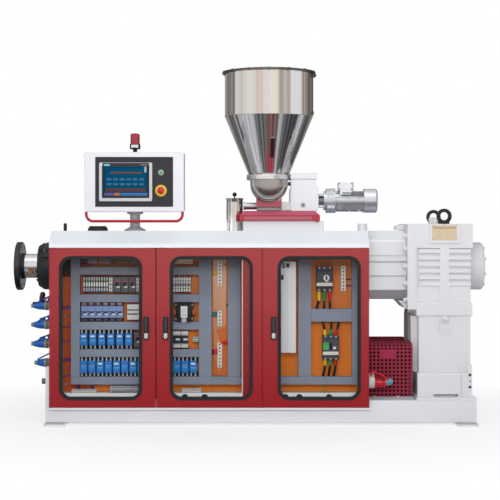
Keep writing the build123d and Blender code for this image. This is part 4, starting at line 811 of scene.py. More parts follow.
# %% Blue modules
steel_blue, sky = rgb(138, 164, 216), rgb(40, 138, 222)
sky_mark, sky_groove = rgb(150, 196, 236), rgb(24, 84, 150)
slim_module = device(43.2, 74, 52, steel_blue, [
    (0, 2, 43, 4, rgb(58, 64, 88), 1.0), (0, -4, 26, 7, rgb(50, 54, 72), 5.0), (6, -14, 21, 9, bone, 2.0),
    (-14, -14, 10, 9, rgb(66, 74, 104), 2.0), (0, -26, 43, 3, rgb(172, 190, 226), 1.0)])
slim_base = device(43.2, 122, 36, rgb(46, 40, 42), [
    *[(x, 50, 9, 13, rgb(206, 196, 198), 3.0) for x in (-9, 3)], (13, 50, 6, 8, rgb(140, 64, 60), 3.0),
    *[(x, -50, 8, 8, rgb(150, 146, 150), 3.0) for x in (-9, 3)]])
lower_groove = (0, -29, 42, 3, rgb(26, 92, 162), 0.6)
power_module = device(44, 74, 66, sky, [
    (0, 20, 27, 11, rgb(244, 246, 248), 1.5), (0, -3, 30, 4, sky_mark, 0.6), (0, -11, 24, 3, sky_mark, 0.6),
    (0, 7, 43, 2, sky_groove, 0.4), lower_groove])
plain_module = device(44, 74, 66, sky, [
    (0, 8, 30, 4, sky_mark, 0.6), (0, -3, 24, 3, sky_mark, 0.6), (0, 22, 43, 2, sky_groove, 0.4),
    lower_groove])
pin_bed = device(55, 121, 34, rgb(20, 20, 22), [
    (x, z, 7, 24, rgb(234, 235, 236), 12.0) for x in (-13, 13) for z in (46, -46)], 1.0)
slim_row = [at_places(piece, 183, 43.8, 6, row(2)) for piece in (slim_module, slim_base)]
build("slim_modules", slim_row, tinted_gloss)
module_x, low_pitch, high_pitch, right_x = 179.5, 50.8, 55.7, 756.5
low_row = [(left_end + module_x + low_pitch * i, 0, row(0)) for i in range(8)]
build("power_module_bodies", [
    at_places(power_module, module_x, high_pitch, 6, row(1)),
    repeated(power_module, [low_row[i] for i in (2, 4, 6)]),
    repeated(plain_module, [low_row[i] for i in (0, 1, 3, 5, 7)]),
    at_places(plain_module, right_x, low_pitch, 2, row(0)),
    at_places(power_module, right_x + 2 * low_pitch, 0, 1, row(0)),
    at_places(pin_bed, module_x, high_pitch, 6, row(1)), at_places(pin_bed, module_x, low_pitch, 8, row(0)),
    at_places(pin_bed, right_x, low_pitch, 3, row(0))],
    tinted_gloss, replaces=["power_modules"])

# %% Terminal strips
def terminals(x, rise, width, height, depth, tint, pitch=8.6):
    """A strip of clipped terminals about a place on the plate: thin slices side by side with a gap
    between, and a screw in each."""
    count = int(width / pitch)
    places = (np.arange(count) - (count - 1) / 2) * pitch
    screw, screw_z = pitch * 0.5, height * 0.22
    slice_piece = device(pitch - 1.2, height, depth, tint, [
        (0, screw_z, screw, screw, dark, 0.8), (0, -screw_z, screw, screw, rgb(170, 172, 176), 1.0)], 0.8)
    slices = repeated(slice_piece, [(place, 0, 0) for place in places])
    return slices.moved(left_end + x, 0, plate_low + rise)


def earth_strip(x, rise, height=158, holes=7):
    """A white bar with a column of screws in round wells, about a place on the plate; each is one dark brown
    ring whose colour is partly the brass of the screw and partly painted shade of the well.
    """
    depth = 24
    bar = device(29, height, depth, rgb(246, 243, 234), corner=2.0)
    places = (np.arange(holes) - (holes - 1) / 2) * height / (holes + 0.2)
    # Painted shade: the wells' dark brown is partly the shade in the holes.
    well = lathe([(5.0, 0), (5.0, -1.6), (3.4, -1.6), (3.4, -0.4)], "y", (0, plate_face - depth, 0), 14,
                 rgb(74, 64, 54))
    return joined([bar, repeated(well, [(0, 0, z) for z in places])]).moved(left_end + x, 0, plate_low + rise)


copper_x, copper_wide = 973, 99
strip_x = copper_x + 48.5
terminal_row = [terminals(*values) for values in (
    (205, 818, 88, 40, 42, rgb(60, 44, 36)),
    (232, 812, 62, 26, 46, rgb(150, 146, 144)),
    (318, 812, 70, 26, 46, rgb(142, 126, 112)),
    (438, 812, 148, 26, 46, rgb(150, 118, 92)),
    (796, 818, 120, 42, 42, rgb(232, 214, 180)),
    (178, 4, 156, 26, 42, rgb(240, 240, 236), 11.0),
    (428, 24, 174, 30, 50, rgb(206, 204, 214), 12.4),
    (428, -8, 174, 30, 50, rgb(196, 206, 184), 12.4),
    (846, 6, 120, 34, 42, rgb(240, 238, 230), 12.0),
    (872, row(1) - 2 - plate_low, 40, 30, 42, rgb(214, 224, 204), 10.0))]
terminal_row += [earth_strip(strip_x, 737), earth_strip(strip_x, 458, 97, 4), earth_strip(strip_x, 230),
                 earth_strip(1791, 705)]
build("terminal_rows", terminal_row, tinted_plastic, replaces=["terminal_strips"])

# %% [markdown]
# ## The heavy devices and their cables
#
# On the right stand two moulded-case breakers. Thick black cables come out of the upper one and
# end in the lower one, each under a coloured boot that tells the phase: yellow, green, red. A
# cable keeps the same thickness all along, so it is a round section carried on a smooth curve
# through a few given points, and a boot is the same with a radius that grows.

# %% Control transformer
core = box("transformer")
mid_x, mid_z, front = middle(core, 0), middle(core, 2), core[0][1]
foot_places = [(side * 50, z) for side in (-1, 1) for z in (-40, 44)]
stack = [pad(mid_x, mid_z, 100, 124, front + 8, plate_face, 4, 12, rgb(30, 31, 34), 5)]
stack += [pad(mid_x - 44.3 + 3 * i, mid_z, 1.4, 92, front + 5, front + 9, 0.4, 0.4, rgb(52, 54, 58))
          for i in range(31)]
stack.append(pad(mid_x, mid_z + 2, 42, 72, front, front + 8, 1, 1, rgb(246, 247, 248)))
stack += [pad(mid_x, mid_z + z + 0.8, 30, 1.6, front - 0.4, front + 1, 0.3, 0.3, rgb(176, 180, 188))
          for z in (-22, -12, 2, 14, 26)]
stack += [pad(mid_x + x, mid_z + z, 24, 24, front + 14, front + 32, 3, 6, soot, 4) for x, z in foot_places]
stack += [lathe([(6, 0), (6, -4), (3, -5)], "y", (mid_x + x, front + 14, mid_z + z), 14, rgb(170, 172, 178))
          for x, z in foot_places]
for side in (-1, 1):
    for z in (-4, 6):
        lead = [(mid_x + side * x, y, mid_z + z - drop) for x, y, drop in
                ((46, front + 26, 0), (58, front + 12, 3), (68, front + 30, 9), (68, plate_face, 9))]
        stack.append(cable(lead, 4.4, tint=rgb(218, 120, 74)))
stack.append(lathe([(16, 2), (16, -1), (11, -2), (11, 1)], "y", (mid_x, front, mid_z - 50), 28,
                   rgb(206, 208, 212)))
build("control_transformer", stack, tinted_plastic, replaces=["transformer"])

# %% Large breakers
upper_x, upper_z = left_end + 1620 + 51.5, plate_low + 705
lower_x, lower_z = left_end + 1658 + 51.5, plate_low + 279
phase_pitch, case_face = 33, plate_face - 75
cover_face = case_face - 5


def big_breaker(x, z, tint):
    """A moulded case with three deep terminal bays above and below, drawn as pads in a darker copy of its
    colour as painted shade, and a white band under its toggle.
    """
    parts = [pad(x, z, 102, 150, case_face, plate_face - 2, 3, 4, tint),
             block(x - 48, x + 48, cover_face, case_face + 1, z - 44, z + 46, 2, 3, tint)]
    for i in (-1, 0, 1):
        for side in (-1, 1):
            # Painted shade: each bay is a raised pad whose darker copy of the case colour stands for the
            # shade inside a deep bay.
            parts.append(pad(x + phase_pitch * i, z + side * 62, 26, 20, case_face - 3, case_face + 1, 2, 3,
                             tuple(0.55 * c for c in tint)))
            parts.append(pad(x + phase_pitch * i, z + side * 68, 14, 10, case_face - 4, case_face - 2, 1, 5,
                             rgb(186, 184, 178), 4))
    parts.append(pad(x, z - 34, 98, 20, case_face - 6.5, case_face - 4, 1, 1, rgb(250, 244, 228)))
    parts += [pad(x - 37 + 13 * i, z - 34, 6, 8, case_face - 7, case_face - 6, 0.3, 1, rgb(206, 200, 184))
              for i in range(7)]
    return joined(parts)


def on_cover(x0, x1, z0, z1, front, back, soft, corner, tint, steps=2):
    """A block on a breaker's cover about x = 0, z = 0, its front and back as distances from it."""
    return block(x0, x1, cover_face - front, cover_face - back, z0, z1, soft, corner, tint, steps)


rotary = joined([
    lathe([(19, 1), (19, -6), (14, -8), (13, -5)], "y", (11, cover_face, 6), 40, rgb(244, 244, 242)),
    on_cover(6, 16, -7, 19, 17, 5, 3, 5, rgb(52, 53, 57), 5),
    on_cover(4, 24, -19, -14, 2, -1, 1, 1, rgb(226, 228, 226))])
toggle = joined([
    on_cover(-48, -12, -12, 32, 2, -1, 1, 1, rgb(78, 188, 108)),
    on_cover(-46, -14, 18, 22, 2.4, 1, 0.3, 0.5, rgb(50, 150, 84)),
    on_cover(-8, 7, -14, 30, 2, -1, 1, 2, rgb(26, 26, 30)),
    on_cover(-6, 5, 4, 16, 15, 0, 3, 3, rgb(20, 20, 22)),
    on_cover(14, 32, -8, 6, 2, -1, 1, 1, rgb(246, 246, 246))])
build("large_breakers", [
    big_breaker(upper_x, upper_z, rgb(66, 67, 73)), big_breaker(lower_x, lower_z, rgb(80, 85, 98)),
    rotary.moved(upper_x, 0, upper_z), toggle.moved(lower_x, 0, lower_z)],
    tinted_plastic, replaces=["moulded_breakers"])

# %% Phase cables and boots
phases = [rgb(240, 208, 30), rgb(30, 156, 92), rgb(222, 34, 34)]
cable_y = case_face + 24
duct_y = cable_y + 14
duct_z0, duct_z1 = plate_low + 440, plate_low + 518
splay = [(-18, -14), (-3, 8), (2, 22)]


def boot(x, z, way, lean, tint, size=36):
    """A shrunk sleeve: a round section on a short line, widest in its middle."""
    path = [(x + lean * t / size, cable_y, z + way * t) for t in np.linspace(-2, size, 5)]
    return tube(path, [8.5, 10.5, 11, 8.5, 7.5], 14, tint=tint)


def lug(x, z, way):
    """A tinned cable lug: the bare neck between a terminal and its sleeve."""
    return tube([(x, cable_y, z - way * 6), (x, cable_y, z + way * 4)], 7.5, 12, tint=rgb(190, 188, 182))


runs = []
low_top, low_bottom = lower_z + 76, lower_z - 76
for i, (colour, (end_up, end_down)) in enumerate(zip(phases, splay)):
    top_x, low_x = upper_x + phase_pitch * (i - 1), lower_x + phase_pitch * (i - 1)
    high_path = [(top_x, cable_y, upper_z - 132), (top_x + 0.4 * end_up, cable_y, upper_z - 152),
                 (top_x + end_up, duct_y, duct_z1 - 14)]
    mid_path = [(low_x + end_down - 4, duct_y, duct_z0 + 14),
                (low_x + 0.75 * end_down, cable_y, low_top + 66),
                (low_x + 0.2 * end_down, cable_y, low_top + 32)]
    low_path = [(low_x - 1, cable_y, low_bottom - 32), (low_x - 5, cable_y, low_bottom - 60),
                (low_x - 13, duct_y, low_bottom - 104)]
    runs += [cable(path, 7.2, 12, rgb(26, 28, 34)) for path in (high_path, mid_path, low_path)]
    runs += [boot(top_x, upper_z - 82, -1, 0, colour, 56), boot(low_x, low_top, 1, 0.2 * end_down, colour),
             boot(low_x, low_bottom, -1, -2, colour)]
    runs += [lug(top_x, upper_z - 76, -1), lug(low_x, low_top, 1), lug(low_x, low_bottom, -1)]
build("phase_cables", runs, tinted_plastic)

# %% [markdown]
# ## Control wires
#
# Hundreds of thin wires leave the terminals and dive into the slots of the ducts. At this
# distance they read as a fine comb of colour above and below each row, so each wire is one short
# arc: out of the terminal, forward, and back into the duct. The points of one arc are worked out
# at once, with a sine wave on the depth. A few thicker leads are smooth curves of their own.

# %% Wires
def comb(x0, x1, count, z0, z1, depth, tints, bulge=14.0, radius=1.5):
    """Wires side by side between two heights, x from the left end: the depth of a wire is the
    device's depth plus bulge * sin(pi * t), with t from 0 to 1, and each wobbles a little."""
    t = np.linspace(0, 1, 9)
    wires = []
    for i in range(count):
        x = left_end + x0 + (x1 - x0) * (i + 0.5) / count
        wobble = 2.0 * math.sin(2.4 * i)
        depths = depth + (bulge + wobble) * np.sin(math.pi * t)
        path = np.stack([x + wobble * t, plate_face - depths, z0 + (z1 - z0) * t], -1)
        wires.append(tube(path, radius, 6, (1, 0, 0.01), tints[i % len(tints)]))
    return wires


red, maroon, blue_wire, green_wire = rgb(186, 60, 56), rgb(120, 52, 60), rgb(0, 66, 160), rgb(70, 150, 92)
lilac, orange_wire, white_wire = rgb(146, 126, 190), rgb(214, 120, 48), rgb(218, 219, 222)
wiring = []
for base, x0, x1, count, low, high, depth, tints, *shape in (
        (row(3), 172, 330, 14, 44, 62, 30, [maroon, red, dark], 12),
        (row(3), 172, 330, 12, -44, -62, 30, [lilac, blue_wire, maroon], 12),
        (row(3), 365, 500, 9, 44, 62, 30, [red, black, maroon], 14),
        (row(3), 365, 500, 9, -44, -62, 30, [black, maroon, red], 14),
        (row(2), 164, 420, 20, 36, 62, 28, [red, maroon, lilac, red], 12),
        (row(2), 164, 420, 18, -36, -62, 28, [blue_wire, maroon, dark], 12),
        (row(2), 455, 530, 8, 44, 63, 30, [red], 18, 2.2),
        (row(2), 455, 530, 8, -44, -62, 30, [black, red], 16, 2.0),
        (row(1), 160, 480, 30, 53, 62, 24, [white_wire, dark, white_wire], 6),
        (row(1), 160, 480, 24, -54, -62, 24, [white_wire, dark], 6),
        (row(0), 160, 560, 24, 54, 62, 24, [white_wire, dark, lilac], 6),
        (plate_low, 136, 152, 2, 52, 12, 14, [blue_wire], 10, 3.4),
        (plate_low, 222, 238, 2, 52, 14, 14, [rgb(40, 84, 200)], 10, 3.4),
        (plate_low, 350, 512, 13, 56, 34, 16, [lilac, green_wire, white_wire], 16, 2.4),
        (plate_low, 350, 512, 26, 14, 2, 48, [lilac, rgb(110, 170, 90)], 5, 2.0),
        (row(3), 735, 845, 10, 42, 62, 28, [white_wire, maroon, red], 12),
        (row(3), 735, 845, 10, -42, -62, 28, [maroon, dark], 12),
        (row(2), 745, 860, 8, 50, 62, 28, [red, black, orange_wire], 12, 2.0),
        (row(2), 745, 860, 8, -50, -62, 28, [black, blue_wire], 12, 2.0),
        (row(1), 735, 835, 9, 44, 62, 34, [black, red, dark], 14, 2.2),
        (row(1), 735, 835, 9, -44, -62, 34, [black, maroon], 14, 2.2)):
    wiring += comb(x0, x1, count, base + low, base + high, depth, tints, *shape)
for height, climb in ((516, 14), (508, 12), (394, 10), (304, 14), (186, 22), (178, 20), (58, 46)):
    arc = [plate_point(26, 4, height), plate_point(46, 26, height + 0.7 * climb),
           plate_point(72, 30, height + climb), plate_point(98, 14, height + climb)]
    wiring.append(cable(arc, 2.6, 8, rgb(28, 62, 176)))
for rise in (703, 663):
    stub = [plate_point(1804, 18, rise), plate_point(1822, 26, rise - 2), plate_point(1844, 20, rise)]
    wiring.append(cable(stub, 3.4, 8, rgb(24, 44, 128)))
for start, colour in ((1664, rgb(96, 196, 60)), (1690, rgb(176, 190, 60))):
    lead = [plate_point(start, 12, 56), plate_point(start + 3, 22, 22), plate_point(start + 8, 26, -4),
            plate_point(1692, 30, -24)]
    wiring.append(cable(lead, 2.6, 8, colour))
build("control_wires", wiring, tinted_plastic)

# %% [markdown]
# ## Plates, knockouts and the rest of the cabinet
#
# The middle window shows a copper-coloured plate with the earth bars, and the right one a tall
# white module. The cabinet's floor pan ends in a white lip at the front, with half-round
# knockouts for heavy leads, drawn as black half-discs that are painted shade of the openings.

# %% Panels and fittings
tall_x = box("inner_panels")[1][0]
fittings = [
    on_plate(-94, 0, 248, 814, 90, 0, 3, 5, rgb(250, 250, 252), tall_x),
    on_plate(-56, -53, 250, 812, 90.6, 89, 0.2, 0.5, rgb(226, 227, 232), tall_x),
    on_plate(19, 26, -8, 730, 30, 0, 1, 1, rgb(206, 210, 216)),
    on_plate(28, 97, 742, 884, 60, 0, 2, 2, rgb(30, 28, 30)),
    # Painted shadow: this dark brown strip on the plate below the black box stands for the shadow the box
    # casts.
    on_plate(30, 97, 716, 742, 12, 0, 2, 2, rgb(92, 40, 26)),
    on_plate(-92, -76, 700, 730, 93, 89, 1, 2, dark, tall_x),
    on_plate(-84, -66, 770, 806, 97, 90, 1, 2, grey, tall_x),
    on_plate(-60, -40, 776, 800, 95, 90, 1, 2, dark, tall_x)]
connectors = [
    (20, 742, 24, 28, rgb(226, 190, 60)), (84, 788, 18, 14, rgb(206, 176, 80)),
    (18, 484, 30, 26, rgb(30, 130, 112)), (94, 538, 12, 12, rgb(24, 60, 56)),
    (84, 306, 34, 18, rgb(214, 34, 44)), (60, 308, 16, 14, rgb(232, 60, 70)),
    (20, 252, 34, 30, rgb(226, 60, 84)), (8, 250, 10, 30, rgb(60, 20, 30))]
fittings += [pad(left_end + copper_x + x, plate_low + z, width, height, plate_face - 30, plate_face - 5, 2, 2,
                 tint) for x, z, width, height, tint in connectors]
fittings.append(on_plate(1161, 1168, 2, 870, 234, 228, 1, 1, off_white))
build("inner_plates", fittings, tinted_plastic, replaces=["inner_panels"])

# %% Copper plate
# Painted reflection: a paler sheet laid just over the copper plate, lighter towards the top, stands for the
# sheen of light on the polished copper.
sheen_rise = np.linspace(100, 833, 60)
sheen_edges = (np.interp(sheen_rise, [100, 230, 380, 400, 833], [50, 12, 12, 6, 6]),
               np.interp(sheen_rise, [100, 230, 300, 392, 400, 440, 833], [50, 56, 56, 20, 82, 88, 88]))
low_sheen, high_sheen = np.array(rgb(226, 150, 96)), np.array(rgb(240, 196, 162))
sheen_tint = low_sheen + np.clip((sheen_rise - 300) / 480, 0, 1)[:, None] * (high_sheen - low_sheen)
sheen_y, sheen_z = np.full(60, plate_face - 6.4), plate_low + sheen_rise
sheen = np.stack([np.stack([left_end + copper_x + edge, sheen_y, sheen_z], -1) for edge in sheen_edges], 1)
copper_sheet = Finish("copper_plate", specular_ior_level=0.3)
brushed = copper_sheet.noise(40.0, 3.0, 0.5, (8, 8, 0.4))
copper_sheet.set("Base Color", copper_sheet.blend(0.25 * brushed, copper_sheet.tint(), (0.55, 0.16, 0.04)))
copper_sheet.set("Roughness", 0.34 + 0.1 * (brushed - 0.5))
build("copper_plate", [
    on_plate(copper_x, copper_x + copper_wide, 99, 834, 6, 0, 1, 1, rgb(226, 118, 44)),
    skin(sheen, ring=False, tint=np.repeat(sheen_tint, 2, 0))], copper_sheet)

# %% Hardware, floor pan and knockouts
hardware = [lathe([(9, 1), (9, -8), (7, -10)], "y", plate_point(x, 0, z), 20, (0.8, 0.8, 0.8))
            for x, z in ((56, 468), (60, 48), (940, 50), (990, 50), (1172, 450), (1172, 356))]
hardware.append(tube([plate_point(60, 12, 740), plate_point(60, 12, 860)], 7, 14, tint=(0.75, 0.77, 0.8)))
build("cabinet_hardware", hardware, zinc_steel)
pan_top, lip_front = box("cabinet_walls")[0][2] + 8, 236
pan_rise = pan_top - plate_low
pan = [on_plate(6, 1880, pan_rise, pan_rise + 1.2, lip_front, -2, 0.3, 0.5, rgb(250, 250, 248)),
       on_plate(40, 1880, pan_rise, pan_rise + 35, lip_front + 0.5, lip_front - 1, 0.3, 0.5, off_white)]
build("floor_pan", pan, tinted_gloss)
half_turn, lip_y = np.linspace(0, math.pi, 17), plate_face - lip_front
arch_rows = [np.stack([r * np.cos(half_turn), np.full(17, lip_y - out), 11 + h * np.sin(half_turn)], -1)
             for r, h, out in ((20, 19, 0), (20, 19, 1.5), (0.1, 0.1, 1.8))]
# Painted shade: each knockout is a flat black half-disc on the lip that stands for the shade inside the
# opening.
knockout = skin(np.array(arch_rows), ring=False, tint=rgb(18, 18, 20))
knockout_places = [(left_end + x, 0, pan_top) for x in (815, 935, 1425, 1510, 1690)]
build("knockouts", repeated(knockout, knockout_places), tinted_plastic)

# %% [markdown]
# ## The control panel
#
# A white box holds a dark face plate between two bright strips. The screen sits in a silver
# surround with a black bezel, and shows a blue page with a few bars. Beside it are a green lamp and
# the emergency stop, a red mushroom on a yellow ring. Turned parts are all one profile each, with
# its heights counted from the face that they stand on.

# %% Panel face and screen
panel, screen, buttons = box("control_panel_box"), box("operator_screen"), box("panel_buttons")
panel_x, panel_z = middle(panel, 0), middle(panel, 2)
face_y = panel[0][1] + 3
face = [pad(panel_x, panel_z, 482, 308, face_y - 1.5, face_y + 1, 0.8, 3, rgb(44, 43, 49))]
face += [pad(panel_x + side * 241, panel_z, 2, 310, face_y - 2.2, face_y, 0.4, 0.6, rgb(170, 171, 176))
         for side in (-1, 1)]
build("panel_face_plate", face, tinted_plastic, "control_panel")

(sx0, sy, sz0), (sx1, _, sz1) = screen
surround = [
    block(sx0, sx1, sy + 3, face_y, sz0, sz1, 1.5, 8, rgb(188, 191, 197), 6),
    frame_ring(sx0, sx1, sz0, sz1, 18, sy, sy + 4, rgb(196, 199, 204))]
build("screen_surround", surround, tinted_gloss, "control_panel", replaces=["operator_screen"])
title_x, title_z = panel_x - 51, panel_z + 106
bezel = [
    frame_ring(sx0 + 17, sx1 - 17, sz0 + 20, sz1 - 4, 13, sy + 1.0, sy + 5, rgb(22, 23, 26), 6),
    pad(title_x, title_z - 0.5, 286, 23, sy - 1.2, sy + 2, 0.4, 1, rgb(40, 40, 46)),
    pad(title_x - 117, title_z - 2, 36, 12, sy - 1.8, sy, 0.3, 3, rgb(120, 188, 214)),
    pad(title_x + 113, title_z - 1, 44, 10, sy - 1.8, sy, 0.3, 2, rgb(96, 96, 104))]
build("screen_bezel", bezel, tinted_gloss, "control_panel")

# %% Screen page
page_glow = Finish("screen_page", roughness=0.25, specular_ior_level=0.0)
page_glow.set("Base Color", page_glow.tint())
page_glow.set("Emission Color", page_glow.tint())
page_glow.set("Emission Strength", 0.05)
dx0, dx1, dz0, dz1 = sx0 + 30, sx1 - 30, sz0 + 33, sz1 - 17
page_y = sy + 2.6


def page_bar(left, right, low, high, tint, rise):
    """A flat field on the page, placed as shares of its width and height."""
    wide, tall = dx1 - dx0, dz1 - dz0
    return block(dx0 + left * wide, dx0 + right * wide, page_y - rise, page_y, dz0 + low * tall,
                 dz0 + high * tall, 0.05, 0.4, tint)


page = [block(dx0, dx1, page_y, page_y + 3, dz0, dz1, 0.2, 1, rgb(6, 60, 92)),
        page_bar(0.02, 0.98, 0.12, 0.98, rgb(8, 72, 106), 0.1)]
page += [page_bar(left, right, low, high, tint, 0.3) for left, right, low, high, tint in (
    (0.14, 0.88, 0.72, 0.79, rgb(96, 70, 58)), (0.04, 0.96, 0.14, 0.25, rgb(86, 62, 54)),
    (0.93, 0.98, 0.77, 0.98, rgb(150, 176, 190)), (0.0, 0.22, 0.0, 0.10, rgb(92, 82, 132)),
    (0.23, 0.36, 0.0, 0.10, rgb(168, 112, 72)), (0.37, 1.0, 0.0, 0.10, rgb(70, 108, 158)))]
page += [page_bar(0.06 + 0.15 * i, 0.17 + 0.15 * i, 0.34 + 0.16 * k, 0.42 + 0.16 * k, rgb(58, 104, 128), 0.25)
         for i in range(6) for k in range(2)]
build("screen_page", page, page_glow, "control_panel", smooth=0)

# %% Lamp and emergency stop
bx = middle(buttons, 0)
stop_at, lamp_at = (bx, face_y, buttons[0][2] + 36), (bx, face_y, buttons[1][2] - 12)
knobs = [
    lathe([(36, 0), (36, -5), (33, -8), (22, -8), (20, -6)], "y", stop_at, 48, rgb(226, 190, 44)),
    lathe([(13, -6), (12, -24), (18, -26), (21, -30), (21, -34), (17, -38.5), (8, -40)], "y", stop_at, 48,
          rgb(190, 26, 30)),
    lathe([(17, 0), (17, -3), (15, -4.5), (11, -4.5)], "y", lamp_at, 32, rgb(190, 192, 196)),
    lathe([(11.5, -4), (11.5, -9), (9, -12.5), (5, -14)], "y", lamp_at, 32, rgb(70, 178, 116))]
build("panel_controls", knobs, tinted_gloss, "control_panel", replaces=["panel_buttons"])

# %% Beacon
mast = box("beacon")
mx, my, base_z = middle(mast, 0), middle(mast, 1), mast[0][2]
mast_foot = (mx, my, base_z)
stem = [rod(13, 0, 23, "z", mast_foot, 32, rgb(24, 24, 27)),
        turned([(0, 21), (30, 22), (33, 26), (33, 52), (31, 54), (0, 54)], "z", mast_foot, 48,
               rgb(28, 28, 31)),
        pad(mx, base_z + 39, 44, 18, my - 33.4, my - 26, 1, 1, rgb(214, 215, 218))]
build("beacon_base", stem, tinted_plastic, "control_panel", replaces=["beacon"])
lens = Finish("red_lens", roughness=0.12, coat_weight=0.6, coat_roughness=0.05)
lens.set("Base Color", lens.blend(0.4 * lens.noise(30.0), (0.36, 0.010, 0.035), (0.24, 0.006, 0.022)))
height = np.linspace(0, 1, 60)
ribs, shoulder_in = np.abs(np.sin(9 * math.pi * height)), np.clip(height - 0.86, 0, 1) ** 2 / 0.14 ** 2
profile = [(0, 53), *zip(30 - 1.3 * ribs - 12 * shoulder_in, 54 + 66.5 * height), (0, 120.8)]
build("beacon_lens", turned(profile, "z", mast_foot, 64), lens, "control_panel", smooth=60)

# %% [markdown]
# ## The punched guard
#
# The guard over the main motor is one folded sheet with round holes on a square grid. Drawing
# holes with booleans is slow and leaves bad faces. A punched sheet is simpler as cells: each cell
# is a square with a circle cut from it, made of sixteen faces between the square's outline and
# the circle. The cells lie first on a flat strip, and then the strip is bent over the outline of
# the guard, so that the holes follow the shoulder just as in the real sheet. A black box stands
# inside it as painted shade, because the photograph shows black in the holes.

# %% Guard
(gx0, gy0, gz0), (gx1, gy1, gz1) = box("motor_guard")
shoulder, sheet_depth, side_hem, end_hem, hole_r, hole_pitch = 50.0, 2.6, 7, 10, 7.4, 23.8
up, around, over = gz1 - shoulder - gz0, shoulder * math.pi / 2, gy1 - gy0 - 2 * shoulder
strip = 2 * up + 2 * around + over


def bend(points):
    """A flat strip (x, s) wrapped over the guard: up the front by s, round the shoulder on an arc
    of s / radius, flat over the top, and the same down the back. The third value is depth into
    the sheet."""
    x, s, inward = points[:, 0], points[:, 1], points[:, 2]
    edges = np.cumsum([0, up, around, over, around, up])
    r = shoulder - inward
    a = np.clip((s - edges[1]) / shoulder, 0, math.pi / 2)
    b = np.clip((s - edges[3]) / shoulder, 0, math.pi / 2)
    y = gy0 + shoulder - r * np.cos(a) + np.clip(s - edges[2], 0, over) + r * np.sin(b)
    z = gz0 + np.clip(s, 0, up) + r * np.sin(a) - r * (1 - np.cos(b)) - np.clip(s - edges[4], 0, up)
    return np.stack([x, y, z], -1)


columns, rows_up, last_punched = 11, round(strip / hole_pitch), 40
cell_x, cell_s = (gx1 - gx0 - 2 * side_hem) / columns, (strip - 2 * end_hem) / rows_up
turn = np.arange(16) * math.pi / 8 + math.pi / 4
square = np.stack([np.clip(math.sqrt(2) * np.cos(turn), -1, 1) * cell_x / 2,
                   np.clip(math.sqrt(2) * np.sin(turn), -1, 1) * cell_s / 2], -1)
hole = hole_r * np.stack([np.cos(turn), np.sin(turn)], -1)
flat_rows = [np.column_stack([ring, np.full(16, deep)]) for ring, deep in
             ((square, sheet_depth), (square, 0.0), (hole, 0.0), (hole, sheet_depth))]
cell, blank = skin(np.array(flat_rows), loop=True), skin(np.array(flat_rows[:2]))
holes, plain = [], []
for i in range(columns):
    for k in range(rows_up):
        unpunched = i == 0 and k > last_punched
        (plain if unpunched else holes).append((
            gx0 + side_hem + cell_x * (i + 0.5), end_hem + cell_s * (k + 0.5), 0))
guard_sheet = [repeated(cell, holes).warped(bend), repeated(blank, plain).warped(bend)]
s_line = np.linspace(0, strip, 120)
for x0, x1 in ((gx0, gx0 + side_hem), (gx1 - side_hem, gx1)):
    edge = [np.column_stack([np.full(120, x), s_line, np.full(120, deep)]) for x, deep in
            ((x0, sheet_depth), (x0, 0.0), (x1, 0.0), (x1, sheet_depth))]
    guard_sheet.append(skin(np.stack([bend(line) for line in edge], 1)))
for s0, s1 in ((0, end_hem), (strip - end_hem, strip)):
    hem = np.array([[(gx0 + side_hem, s, deep), (gx1 - side_hem, s, deep)] for s, deep in
                    ((s0, sheet_depth), (s0, 0), (s1, 0), (s1, sheet_depth))], float)
    guard_sheet.append(skin(bend(hem.reshape(-1, 3)).reshape(4, 2, 3), ring=False, loop=True))
build("punched_guard", guard_sheet, guard_red, replaces=["motor_guard"])
print("holes:", len(holes), "unpunched cells:", len(plain))

# %% Painted shade box, plate and foot strip of the guard
# Painted shade: a black box inside the guard fills the holes with black where the shade inside it falls.
guard_shade_box = block(gx0 + 8, gx1 - 8, gy0 + 24, gy1 - 24, gz0 + 4, gz1 - 24, 8, 34, rgb(8, 8, 10), 4)
build("guard_lining", guard_shade_box, plastic("lining_felt", (0.008, 0.008, 0.009), 0.8, gloss=0.0))
blank_plate = pad(gx0 + 125, gz0 + 273, 92, 54, gy0 - 1.5, gy0 - 0.1, 0.4, 1, rgb(160, 34, 72))
build("guard_plate", blank_plate, tinted_gloss)
foot_strip = block(gx0 + 4, gx1 + 8, gy0 - 16, gy0 + 12, gz0, gz0 + 11, 1, 1, rgb(160, 161, 168))
build("guard_foot_strip", foot_strip, tinted_plastic)
foot_bolts = repeated(hexagon(7, 5, (0.9, 0.9, 0.9)), [(gx0 + x, gy0 - 8, gz0 + 11) for x in (44, 186)])
build("guard_foot_bolts", foot_bolts, zinc_steel)

# %% [markdown]
# ## Bolts, plates and seams
#
# From here on the work is outside the cabinet. Bolt heads on the gearbox, round the die neck and
# on the feeder are all one turning over a washer, with six sides or with twelve for a round head,
# made to look along any axis. Castings get their sense of size from such small things: a ledge
# with a shadow, a blank rating plate on a machined pad, a dark gap where two parts meet. The grey
# lines under two ledges mark seams with painted shade, and the dark gaps are dark blocks of painted shade.

# %% Gearbox bolts
case, gear = box("distribution_case"), box("gearbox_housing")
lower, bracket = box("gearbox_lower_housing"), box("angle_bracket")
gear_front, lower_front = gear[0][1] + 4, lower[0][1]
plate_bolts = [bolt("-x", 13, 20, (case[1][0], side * 250, z), washer=4) for side in (-1, 1)
               for z in (1147, 1066, 957, 852, 752)]
plate_bolts.append(bolt("-x", 9, 12, (case[1][0] - 44, 0, 1196)))
build("gearbox_plate_bolts", plate_bolts, cast_white)

